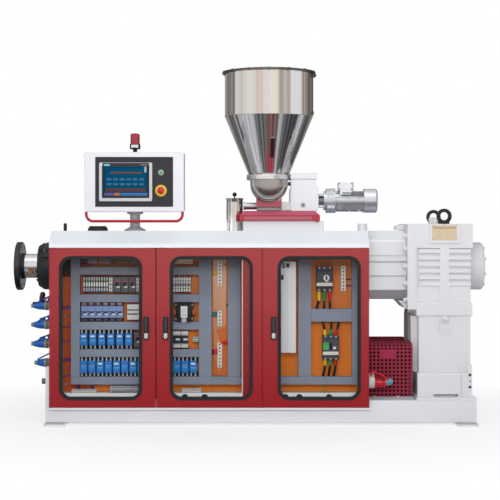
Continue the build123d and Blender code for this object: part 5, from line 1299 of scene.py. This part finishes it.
# %% Ledges and seams
case_x0, case_x1, case_front = case[0][0] + 2, case[1][0] - 2, case[0][1]
pad_y = gear_front - 4.5
ledges = [block(case_x0, case_x1, case_front - 5, case_front + 1, z, z + 7, 1.5, 1.0)
          for z in (987, 899, 1024)]
ledges += [block(case_x0, case_x1, case_front, case_front + 90, 811, 897, 2, 3),
           block(1107, 1303, pad_y, gear_front + 1, 1106, 1220, 2, 5, (1, 1, 1), 4),
           block(1114, 1294, gear_front - 6, gear_front - 3.5, 1100, 1107, 1.2, 2)]
build("casting_ledges", ledges, cast_white)
bracket_bolts = [bolt("-y", r, 3, (middle(bracket, 0), bracket[0][1], z), washer=1, steps=12)
                 for z, r in ((221, 6.2), (258, 3.4), (295, 6.2))]
build("bracket_bolts", bracket_bolts, black_oxide)
# Painted shade: grey strips just under the two ledges mark the casting seams with the ledge's shadow painted
# on.
seam_and_shade_strips = [block(case_x0, case_x1, case_front - 1.2, case_front + 1, z, z + 3.4, 0.4, 0.5, rgb(120, 118, 124))
         for z in (983.4, 895.4)]
seam_and_shade_strips += [block(lower[1][0] - 78, lower[1][0] - 75.5, lower_front - 0.7, lower_front + 1, 168, 300, 0.2, 0.4,
                rgb(150, 149, 154)),
          # Painted shade: two dark blocks left of the lower housing stand for the shade in the gap there.
          block(lower[0][0] - 22, lower[0][0] - 1, -300, -286, 170, 312, 1, 1, rgb(52, 54, 60)),
          block(lower[0][0] - 34, lower[0][0] - 14, -150, -136, 470, 690, 1, 1, rgb(96, 88, 84))]
build("dark_seams", seam_and_shade_strips, tinted_plastic)

# %% Rating plate, recess and filler
plate_x0, plate_x1, plate_z0, plate_z1, ruled = 1124, 1275, 1121, 1213, rgb(196, 172, 136)
line_y0, line_y1 = pad_y - 1.8, pad_y - 1.2
rating = [block(plate_x0, plate_x1, pad_y - 1.6, pad_y + 0.5, plate_z0, plate_z1, 0.4, 1.5,
                rgb(218, 200, 170)),
          block(plate_x0 + 5, plate_x1 - 5, line_y0 - 0.1, line_y1, plate_z1 - 24, plate_z1 - 8, 0.1, 0.5,
                rgb(196, 168, 132))]
rating += [block(plate_x0 + 5, plate_x1 - 5, line_y0, line_y1, z, z + 1.2, 0.1, 0.3, ruled)
           for z in plate_z0 + np.array([8, 23, 38, 53])]
rating += [block(x, x + 1.2, line_y0, line_y1, plate_z0 + 8, plate_z0 + 66, 0.1, 0.3, ruled)
           for x in (1166, 1216)]
rating += [bolt("-y", 2.6, 1.6, (x, pad_y - 1.6, z), rgb(150, 146, 138), 0.3, 12) for x in (1127, 1272)
           for z in (1124, 1210)]
build("blank_rating_plate", rating, tinted_plastic)
recess_bolt = [bolt("-y", 13, 14, (1197, lower_front + 10, 640))]
recess_bolt += [block(x0, x1, lower_front - 2, lower_front + 2, z0, z1, 0.8, 0.8) for x0, x1, z0, z1 in
                ((1164, 1168, 558, 644), (1164, 1226, 556, 560), (1222, 1226, 558, 644))]
recess_bolt.append(turned([(0, 0), (17, 0), (18, 30), (13, 40), (0, 42)], "z", (1172, -40, gear[1][2]), 32))
build("recess_and_filler", recess_bolt, cast_white)

# %% [markdown]
# ## The die end
#
# Melt leaves through the flange. Its neck is bright from the lathe, with a dark collar where it
# meets the flange and a ring of clamp bolts at the barrel; a copper-brown band low on the neck is a
# painted reflection. The barrel's black cover is two halves: the seam between them and two slanted
# vents are thin dark strips that follow the round surface, each with a paler strip beside it as a
# painted highlight.

# %% Neck and collar
neck, cover = box("die_adapter"), box("barrel_cover")
axis_z, neck_x, neck_end = middle(neck, 2), neck[0][0], neck[1][0]
neck_at, clamp_r = (neck_x, 0, axis_z), 96
build("die_neck", rod(76, 8, neck_end - neck_x, "x", neck_at, 72), machined_steel, replaces=["die_adapter"])
neck_collar = [lathe([(81, 0), (81, 15), (77, 18)], "x", neck_at, 72)]
neck_collar += [bolt("-x", 8, 13, (neck_end, -clamp_r * math.cos(t), axis_z - clamp_r * math.sin(t)),
                     washer=2) for t in np.radians([18, 42, 66])]
build("die_collar", neck_collar, black_oxide)
band = np.linspace(math.radians(8), math.radians(40), 9)
band_rows = np.stack([np.stack([np.full(9, neck_x + x), -r * np.cos(band), axis_z - r * np.sin(band)], -1)
                      for x, r in ((44, 75), (44, 78.5), (84, 78.5), (84, 75))], 1)
# Painted reflection: the copper-brown band low on the neck stands for a reflection in the turned steel; the
# two small blocks beside it are the thermocouple.
bits = [skin(band_rows, tint=rgb(170, 116, 70)),
        block(neck_x + 40, neck_x + 92, -80, -70, axis_z - 22, axis_z - 12, 1, 1, rgb(92, 84, 80)),
        block(neck_x + 66, neck_x + 76, -84, -70, axis_z - 44, axis_z - 34, 1, 1, rgb(60, 54, 50))]
build("neck_thermocouple_band", bits, tinted_gloss)

# %% Barrel cover seam and vents
cover_r = (cover[1][1] - cover[0][1]) / 2
seam_rise = 48.0
seam_y = -math.sqrt(cover_r ** 2 - seam_rise ** 2)
strips = []
# The dark strip is the seam; the paler strip under it is a painted highlight.
for drop, radius, tint in ((0, 4.0, rgb(4, 4, 6)), (1, 2.2, rgb(74, 78, 94))):
    y, z = seam_y - 2 * drop, axis_z + seam_rise - 6 * drop
    strips.append(tube([(cover[0][0] + 30, y, z), (cover[1][0] - 2, y, z)], radius, tint=tint))
lean, vent_r = np.radians(np.linspace(66, 38, 7)), cover_r - 0.5
for x in (-1310, -1274):
    # Each vent is a dark strip with a paler strip beside it as a painted highlight.
    for shift, radius, tint in ((0, 5.0, rgb(5, 5, 7)), (8, 2.4, rgb(116, 120, 138))):
        vent = np.stack([x + shift + 16 * np.linspace(1, 0, 7), -vent_r * np.cos(lean),
                         axis_z + vent_r * np.sin(lean)], -1)
        strips.append(tube(vent, radius, tint=tint))
build("barrel_cover_seams", strips, tinted_plastic)

# %% [markdown]
# ## Plugs
#
# Heater and sensor plugs sit in a column on the left. Each is a grey cable gland, a blue tapered
# body and a metal socket, and all but the lowest have a blue cover flap that stands open with a
# hole for its latch. The flap is one outline around a circle, both given by their distance from
# the middle at each angle, and joined at two depths.

# %% Heater plugs
def flap(width, depth, slope=0.32, hole=8.0):
    """A plate with a hole. At the angle t its edge is the nearest of four straight sides: half the
    width over cos t at both ends, 14 over (sin t - slope * cos t) above and 13 over -sin t below."""
    t = np.linspace(0, 2 * math.pi, 40, endpoint=False)
    c, d = np.cos(t), np.sin(t)
    edge = np.min([reach / np.maximum(way, 0.01) for reach, way in
                   ((width / 2, c), (width / 2, -c), (14, d - slope * c), (13, -d))], 0)
    rings = ((edge, depth), (edge, 0.0), (hole, 0.0), (hole, depth))
    return skin(np.array([np.stack([r * c, np.full(40, y), r * d], -1) for r, y in rings]), loop=True)


plugs = box("heater_plugs")
plug_x, plug_y, socket_x = plugs[0][0], middle(plugs, 1), box("cabinet_walls")[0][0]
plug_heights = (371, 488, 605, 722)
plug_blue, flap_blue, bail_blue = rgb(0, 90, 172), rgb(0, 78, 164), rgb(0, 66, 150)
column = []
for number, z in enumerate(plug_heights):
    tip, socket = (plug_x + (20 if number == 0 else 0), plug_y, z - 4), (socket_x, plug_y, z - 4)
    column += [
        lathe([(12, 0), (13.5, 6), (13.5, 26)], "x", tip, 32, rgb(104, 128, 124)),
        turned([(0, 16), (15.5, 16), (18, 24), (22, 40), (25, 54), (25.5, 84), (23, 90), (0, 96)], "x", tip,
               40, plug_blue),
        lathe([(27, -54), (28, -50), (28, -30), (24, -28), (24, -20), (29, -18), (29, 0)], "x", socket, 40,
              rgb(136, 132, 126)),
        rod(28.6, -40, -34, "x", socket, 40, rgb(50, 46, 44))]
    if number:
        column.append(flap(84, 9).moved(socket_x - 43, plug_y - 5, z + 35).tinted(flap_blue))
    for side in (-1, 1):
        bail = [(socket_x + x, plug_y + side * y, z + rise) for x, y, rise in
                ((-96, 14, 16), (-70, 12, 30), (-30, 10, 50), (-4, 10, 58))]
        column.append(cable(bail, 4.5, tint=bail_blue))
highest = plug_heights[-1]
elbow = [(x, plug_y, highest + rise) for x, rise in ((-1280, 8), (-1281, 34), (-1277, 60), (-1272, 80))]
column += [cable(elbow, [15] * 4 + [17] * 12 + [14, 11, 6], 16, rgb(22, 23, 26)),
           block(-1337, -1306, plug_y - 14, plug_y + 14, highest + 10, highest + 19, 2, 3, rgb(30, 32, 36))]
column += [block(x, x + 20, plug_y - 18, plug_y - 12, z, z + 9, 1, 2, rgb(196, 32, 40))
           for x, z in ((-1268, highest + 32), (-1240, highest + 48))]
column.append(lathe([(11, 0), (11, -10.6), (16, -10.6), (17.8, -8), (17.8, 27)], "x", (-1270, plug_y, 253),
                    32, rgb(96, 112, 98)))
build("plug_column", column, tinted_gloss, replaces=["heater_plugs"])

# %% Power plug
inlet = box("power_plug")
px0, py = inlet[0][0] + 11, middle(inlet, 1)
plug_red = rgb(188, 20, 38)
power = [
    lathe([(46, -11), (46, 4), (43, 6), (43, 18), (45, 20), (45, 30), (38, 33)], "x", (px0, py, 262), 48,
          rgb(196, 204, 196)),
    turned([(0, 30), (34, 30), (34, 44), (30, 48), (30, 84), (33, 88), (33, 100), (0, 106)], "x",
           (px0, py, 252), 48, plug_red),
    turned([(0, 98), (27, 98), (27, 110), (22, 114), (22, 128), (16, 144), (0, 145)], "x", (px0, py, 257), 32,
           rgb(104, 140, 158))]
for side in (-1, 1):
    arch = [(px0 + x, py + side * y, z) for x, y, z in
            ((6, 30, 272), (10, 31, 306), (30, 32, 316), (62, 30, 304), (100, 26, 284), (112, 22, 272))]
    power.append(cable(arch, 5.5, 12, plug_red))
inner_arch = [(px0 + x, py - y, z) for x, y, z in
              ((24, 34, 284), (40, 34, 296), (66, 32, 286), (92, 28, 268))]
power.append(cable(inner_arch, 4.0, tint=rgb(140, 16, 30)))
build("power_plug_and_socket", power, tinted_gloss, replaces=["power_plug"])

# %% Door handles
def door_handle(corners):
    """A flush lever latch: a rounded tray with a raised rim, a long lever, and a key barrel below."""
    (x0, y0, z0), (x1, y1, z1) = corners
    mid = (x0 + x1) / 2
    return [
        block(x0, x1, y1 - 9, y1, z0, z1, 1.5, 5, rgb(26, 27, 30), 4),
        frame_ring(x0, x1, z0, z1, 3.5, y1 - 13, y1 - 8, rgb(32, 33, 36), 5),
        block(x0 + 5, x1 - 5, y0 + 4, y1 - 8, z0 + 42, z1 - 5, 3, 4, rgb(40, 42, 46), 4),
        block(x0 + 8, x1 - 8, y0 + 1, y0 + 5, z0 + 50, z1 - 14, 1.5, 3, rgb(56, 57, 62), 4),
        lathe([(11, y1 - 8), (11, y0 + 7), (9.5, y0 + 5)], "y", (mid, 0, z0 + 18), 32, rgb(214, 214, 216)),
        block(mid - 10.5, mid + 10.5, y0 + 6, y1 - 8, z0 + 18, z0 + 40, 1, 2, rgb(198, 199, 202)),
        block(mid - 1.4, mid + 1.4, y0 + 4.4, y0 + 6, z0 + 12, z0 + 24, 0.2, 0.5, rgb(40, 40, 44))]


for side in ("left", "middle", "right"):
    node = f"door_{side}_handle"
    build(f"latch_{side}", door_handle(box(node)), tinted_gloss, f"door_{side}", replaces=[node])

# %% [markdown]
# ## Hopper and feeder
#
# The hopper is spun from polished sheet. Its look comes from what it mirrors, so nothing is
# painted on it. What is added are the real details: a rolled rim round the lid with clips, a
# hinged strap on the right, and a sight slot down the cone. A patch that is made at the front of
# the cone can be turned about the hopper's axis to its place.

# %% Rim, clips and strap
hopper = box("hopper")
hx = middle(hopper, 0)
rim_r = hopper[1][0] - hx
cup_r, outlet_r = rim_r - 16, 130.0
outlet_z, cup_z, top_z = hopper[0][2], hopper[0][2] + 368, hopper[1][2]
top_at = (hx, 0, top_z)


def spun(patch, turns):
    """A patch copied round the hopper's axis: a turn a takes (u, v) from the axis to
    (u cos a - v sin a, u sin a + v cos a)."""
    a = np.radians(turns)[:, None]
    u, v = patch.points[:, 0] - hx, patch.points[:, 1]
    height = np.broadcast_to(patch.points[:, 2], (len(a), len(u)))
    points = np.stack([hx + u * np.cos(a) - v * np.sin(a), u * np.sin(a) + v * np.cos(a), height], -1)
    corners = patch.corners[None] + len(patch.points) * np.arange(len(a))[:, None]
    return Patch(points, corners, np.tile(patch.sizes, len(a)), np.tile(patch.tint, (len(a), 1)))


bead = turned([(cup_r - 3, -14), (cup_r + 2, -14), (rim_r - 2, -13), (rim_r + 1.2, -10), (rim_r + 1.2, -3),
               (rim_r - 2, 0.5), (cup_r, 3), (cup_r - 3, 0)], "z", top_at, 128)
clip = joined([block(hx - 4, hx + 4, -rim_r + 0.5, -rim_r + 9, top_z - 16, top_z + 3, 1.5, 2),
               block(hx - 3, hx + 3, -rim_r + 1, -rim_r + 16, top_z + 1, top_z + 4, 0.8, 1)])
strap = joined([block(hx - 3.5, hx + 3.5, -cup_r - 6, -cup_r + 1, cup_z + 6, top_z - 16, 1, 1),
                block(hx - 8, hx + 8, -cup_r - 9, -cup_r + 1, cup_z + 6, cup_z + 30, 2, 3),
                block(hx - 11, hx + 11, -rim_r - 4, -cup_r + 1, top_z - 40, top_z - 8, 2, 3),
                rod(7, -rim_r - 9, -cup_r, "y", (hx, 0, top_z - 26), 20)])
build("hopper_rim", [bead, spun(clip, -1 + 25.7 * np.arange(14)), spun(strap, [78])], rim_steel)
cover_sheet = turned([(0, 5.8), (cup_r - 2, 2.9), (cup_r - 2, 0), (0, 0)], "z", top_at, 128)
build("hopper_cover", cover_sheet, polished_steel)

# %% Weld and sight slot
slot_z0, slot_z1, slot_turn = 1630, 1756, [5.6]


def on_cone(points):
    """Points drawn at the front at y = 0 go out to the cone: y falls by its radius at their height."""
    radius = outlet_r + (points[:, 2] - outlet_z) * (cup_r - outlet_r) / (cup_z - outlet_z)
    return np.stack([points[:, 0], points[:, 1] - radius, points[:, 2]], -1)


weld = turned([(cup_r - 2, -3.5), (cup_r + 1.6, -1.5), (cup_r + 1.6, 1.5), (cup_r - 2, 3)], "z",
              (hx, 0, cup_z), 128)
frame_strip = frame_ring(hx - 17, hx + 17, slot_z0, slot_z1, 6, -5, 1).warped(on_cone)
build("sight_slot_frame", [spun(frame_strip, slot_turn), weld], polished_steel)
pane = block(hx - 12, hx + 12, -2, 1, slot_z0 + 5, slot_z1 - 5, 0.5, 6, rgb(40, 24, 30), 4).warped(on_cone)
build("sight_slot_pane", spun(pane, slot_turn), tinted_gloss)

# %% Feeder throat and bowl cover
ring_r, dome_r, throat_bolt_r = 118.0, 84.0, 130
throat_z = box("feeder_body")[1][2]
body_z = box("feeder_body")[0][2] + ring_r
flat_top = throat_z - 38
flange = [(ring_r - 6, -36), (139, -36), (142, -32), (142, -9), (139, -5), (ring_r - 6, -5)]
throat_ring = [turned(flange, "z", (hx, 0, throat_z), 96)]
for t in np.radians(np.arange(15, 360, 30)):
    place = (hx + throat_bolt_r * math.sin(t), -throat_bolt_r * math.cos(t), throat_z - 5)
    throat_ring.append(bolt("+z", 6, 6, place, washer=1.5))
build("feeder_throat_ring", throat_ring, zinc_steel)
swell = np.linspace(0, math.pi / 2, 13)
flank = [(ring_r + 0.6 - 20 * (1 - math.cos(v)), 24 * math.sin(v)) for v in swell]
groove = [(dome_r + 6, 23.0), (dome_r + 4, 17.0), (dome_r + 1, 17.0)]
crown = [(dome_r * math.cos(v), 22 + 13 * math.sin(v)) for v in swell]
dome_profile = [(ring_r - 8, -6.0), (ring_r + 0.6, -6.0), *flank, *groove, *crown, (0, 35)]
dome = turned(dome_profile, "y", (hx, 0, body_z), 96)


def cut_flat(points):
    """The dome swells towards -Y, and what stands above the throat ring is pressed down to its edge."""
    z = points[:, 2]
    pressed = np.where(z > flat_top, flat_top + 0.02 * (z - flat_top), z)
    return np.stack([points[:, 0], -ring_r - 1 - points[:, 1], pressed], -1)


build("bowl_cover", dome.warped(cut_flat), bowl_steel)
throat_bolts = [bolt("-y", 6, 5, (hx + x, -ring_r - 18, 1378), washer=1.5) for x in (-62, 46)]
build("throat_bolts", throat_bolts, rim_steel)
probe = lathe([(8, 0), (8, 10), (13, 10), (13, 19), (9, 21), (9, 30)], "x", (hx + 112, -46, 1476), 28,
              rgb(44, 44, 48))
build("level_probe", probe, tinted_gloss)

# %% Saddle and screw tube
chute, tray = box("feed_chute"), box("feeder_tray")
low_z, tube_at = box("feeder_saddle")[0][2], chute[1][0]
screw_z = low_z + 32
cradle_turn, cradle_r, seat_z = np.radians(np.linspace(-42, 42, 25)), ring_r + 3, low_z + 26.0
inner = np.stack([hx + cradle_r * np.sin(cradle_turn), body_z - cradle_r * np.cos(cradle_turn)], -1)
outer = np.stack([hx + np.linspace(-76, 76, 25), np.full(25, seat_z)], -1)
cradle_rows = [np.stack([line[:, 0], np.full(25, y), np.maximum(line[:, 1], seat_z)], -1)
               for line, y in ((inner, -104), (outer, -104), (outer, 74), (inner, 74))]
seat = [skin(np.array(cradle_rows), ring=False, loop=True, tint=rgb(178, 60, 80)),
        block(hx - 78, hx + 78, -82, 70, low_z, low_z + 27, 2, 3, rgb(122, 124, 124)),
        block(hx - 66, hx + 66, -86, -80, low_z + 4, low_z + 22, 2, 3, rgb(150, 152, 152))]
build("feeder_cradle", seat, tinted_gloss)
tubes = [lathe([(22, tube_at + 2), (22, hx - 76), (27, hx - 76), (27, hx - 66)], "x", (0, 0, screw_z), 48),
         rod(26, tube_at - 1, tube_at + 8, "x", (0, 0, screw_z), 48)]
build("feeder_screw_tube", tubes, cast_aluminium, replaces=["feeder_saddle"])

# %% Feeder housing
housing = box("feeder_housing")
h_x1 = housing[1][0] - 14
h_x0 = h_x1 - 159
housing_front, housing_top = housing[0][1], housing[1][2]
lid_z, spy_at = housing_top - 40, (h_x0 + 76, housing_front, 1341)
white_bits = [block(hx + 78, h_x0 + 2, -52, 40, low_z + 2, low_z + 58, 2, 5, (1, 1, 1), 4),
              block(h_x0 - 9, h_x0 + 1, -60, 60, low_z + 58, low_z + 140, 1.5, 2),
              block(h_x0 - 3, h_x1 + 3, housing_front - 3, housing_front + 6, lid_z, housing_top - 2, 2, 3)]
build("feeder_housing_covers", white_bits, sheet_white)
dark_bits = [block(h_x0, h_x1, housing_front - 1, housing_front + 1, lid_z - 3, lid_z, 0.3, 0.5,
                   rgb(168, 170, 180)),
             bolt("-y", 8, 3, spy_at, rgb(120, 122, 120), 1.4, 24),
             bolt("-y", 13, 1, spy_at, rgb(182, 184, 184), 0.6, 32)]
build("feeder_housing_marks", dark_bits, tinted_plastic)

# %% Tray
(tx0, tray_front, tz0), (tx1, _, tz1) = tray
inset = block(tx0 + 30, tx1 - 50, tray_front - 1.6, tray_front + 1, tz0 + 7, tz0 + 27, 0.6, 2,
              rgb(176, 98, 110))
build("tray_inset", inset, tinted_plastic)
tray_corners = [block(x0, x1, tray_front - 3, tray_front + 8, tz0 - 1, tz0 + 34, 1.5, 3)
                for x0, x1 in ((tx0, tx0 + 29), (tx1 - 44, tx1))]
build("tray_corners", tray_corners, signal_red)
# Painted reflection: the tray's sloped top is drawn pink, the red enamel lit by the white it mirrors at a
# grazing angle.
slope_rows = [[(x, tray_front + d - e, tz1 - 29 + d + e) for x in (tx0 + 2 + d, tx1 - 2 - d)]
              for d, e in ((2, 0), (2, 0.8), (27, 0.8), (27, 0))]
build("tray_slope", skin(np.array(slope_rows), ring=False, loop=True, tint=rgb(186, 92, 116)), tinted_plastic)
feet = [bolt("-z", 6, 8, (x, tray_front + 12, tz0), (0.2, 0.2, 0.2), 2, 12) for x in (tx0 + 14, tx1 - 17)]
build("tray_feet", feet, tinted_plastic)

# %% Chute lid
chute_top = (middle(chute, 0), 0, chute[1][2])
ball = [(14 * math.sin(t), 24 - 14 * math.cos(t)) for t in np.linspace(0, math.pi, 17)]
lid = [turned([(0, -4), (48, -4), (48, -1), (0, 0)], "z", chute_top, 48, rgb(120, 116, 110)),
       rod(4, -2, 14, "z", chute_top, 16, rgb(60, 60, 62)),
       turned(ball, "z", chute_top, 32, rgb(22, 22, 24))]
build("chute_lid", lid, tinted_gloss, replaces=["lids"])

# %% Feeder drive
motor = box("feeder_motor")
mx0, mx1, mz = motor[0][0], motor[1][0], 1370
motor_at = (mx0, 0, mz)
drive = [lathe([(60, 36), (60, 50), (46, 52), (46, 40)], "x", motor_at, 48)]
drive += [lathe([(77.5, x), (78.5, x + 3), (78.5, x + 11), (77.5, x + 14)], "x", motor_at, 64)
          for x in (50, 72, 96)]
drive += [pad(mx0 + 26, mz + sign * 36, 48, 18, -44, 44, 2, 3) for sign in (-1, 1)]
drive += [pad(mx0 + 80, mz + z, 48, 18, -72, -60, 2, 2) for z in (-40, 0, 40)]
drive += [bolt("-y", 5, 5, (mx0 + x, -66, mz + z), washer=1) for x in (196, 256) for z in (20, -64)]
drive.append(turned([(0, -84), (76.5, -84), (76.5, -80), (74, -79)], "x", (mx1, 0, mz), 64))
build("feeder_drive_castings", drive, cast_aluminium)
fins = [pad(mx0 + 219, mz + z, 138, 4, -70, -56, 0.8, 0.8) for z in (-58, -50, -42, -34, -26, 34, 42, 50)]
fins += [block(mx0 + 112, mx0 + 289, -67, -50, mz - 62, mz - 22, 2, 4),
         block(mx0 + 220, mx0 + 289, -66, -50, mz + 26, mz + 56, 2, 4), rod(34, 4, 46, "x", motor_at, 40)]
build("feeder_motor_fins", fins, fin_aluminium)

# %% Terminal box
box_top, box_front = motor[1][2] - 1, -68
cabinet_box = [block(mx0 + 128, mx0 + 216, box_front, 60, mz + 66, box_top, 2, 4, (1, 1, 1), 4),
               block(mx0 + 136, mx0 + 210, box_front + 2, 58, mz + 34, mz + 68, 2, 4, (1, 1, 1), 4)]
build("terminal_box", cabinet_box, sheet_white)
box_screws = [bolt("-y", 3.4, 1.6, (mx0 + x, box_front, z), rgb(120, 122, 128), 0.4, 12) for x in (135, 209)
              for z in (mz + 73, box_top - 7)]
build("terminal_box_screws", box_screws, tinted_plastic)
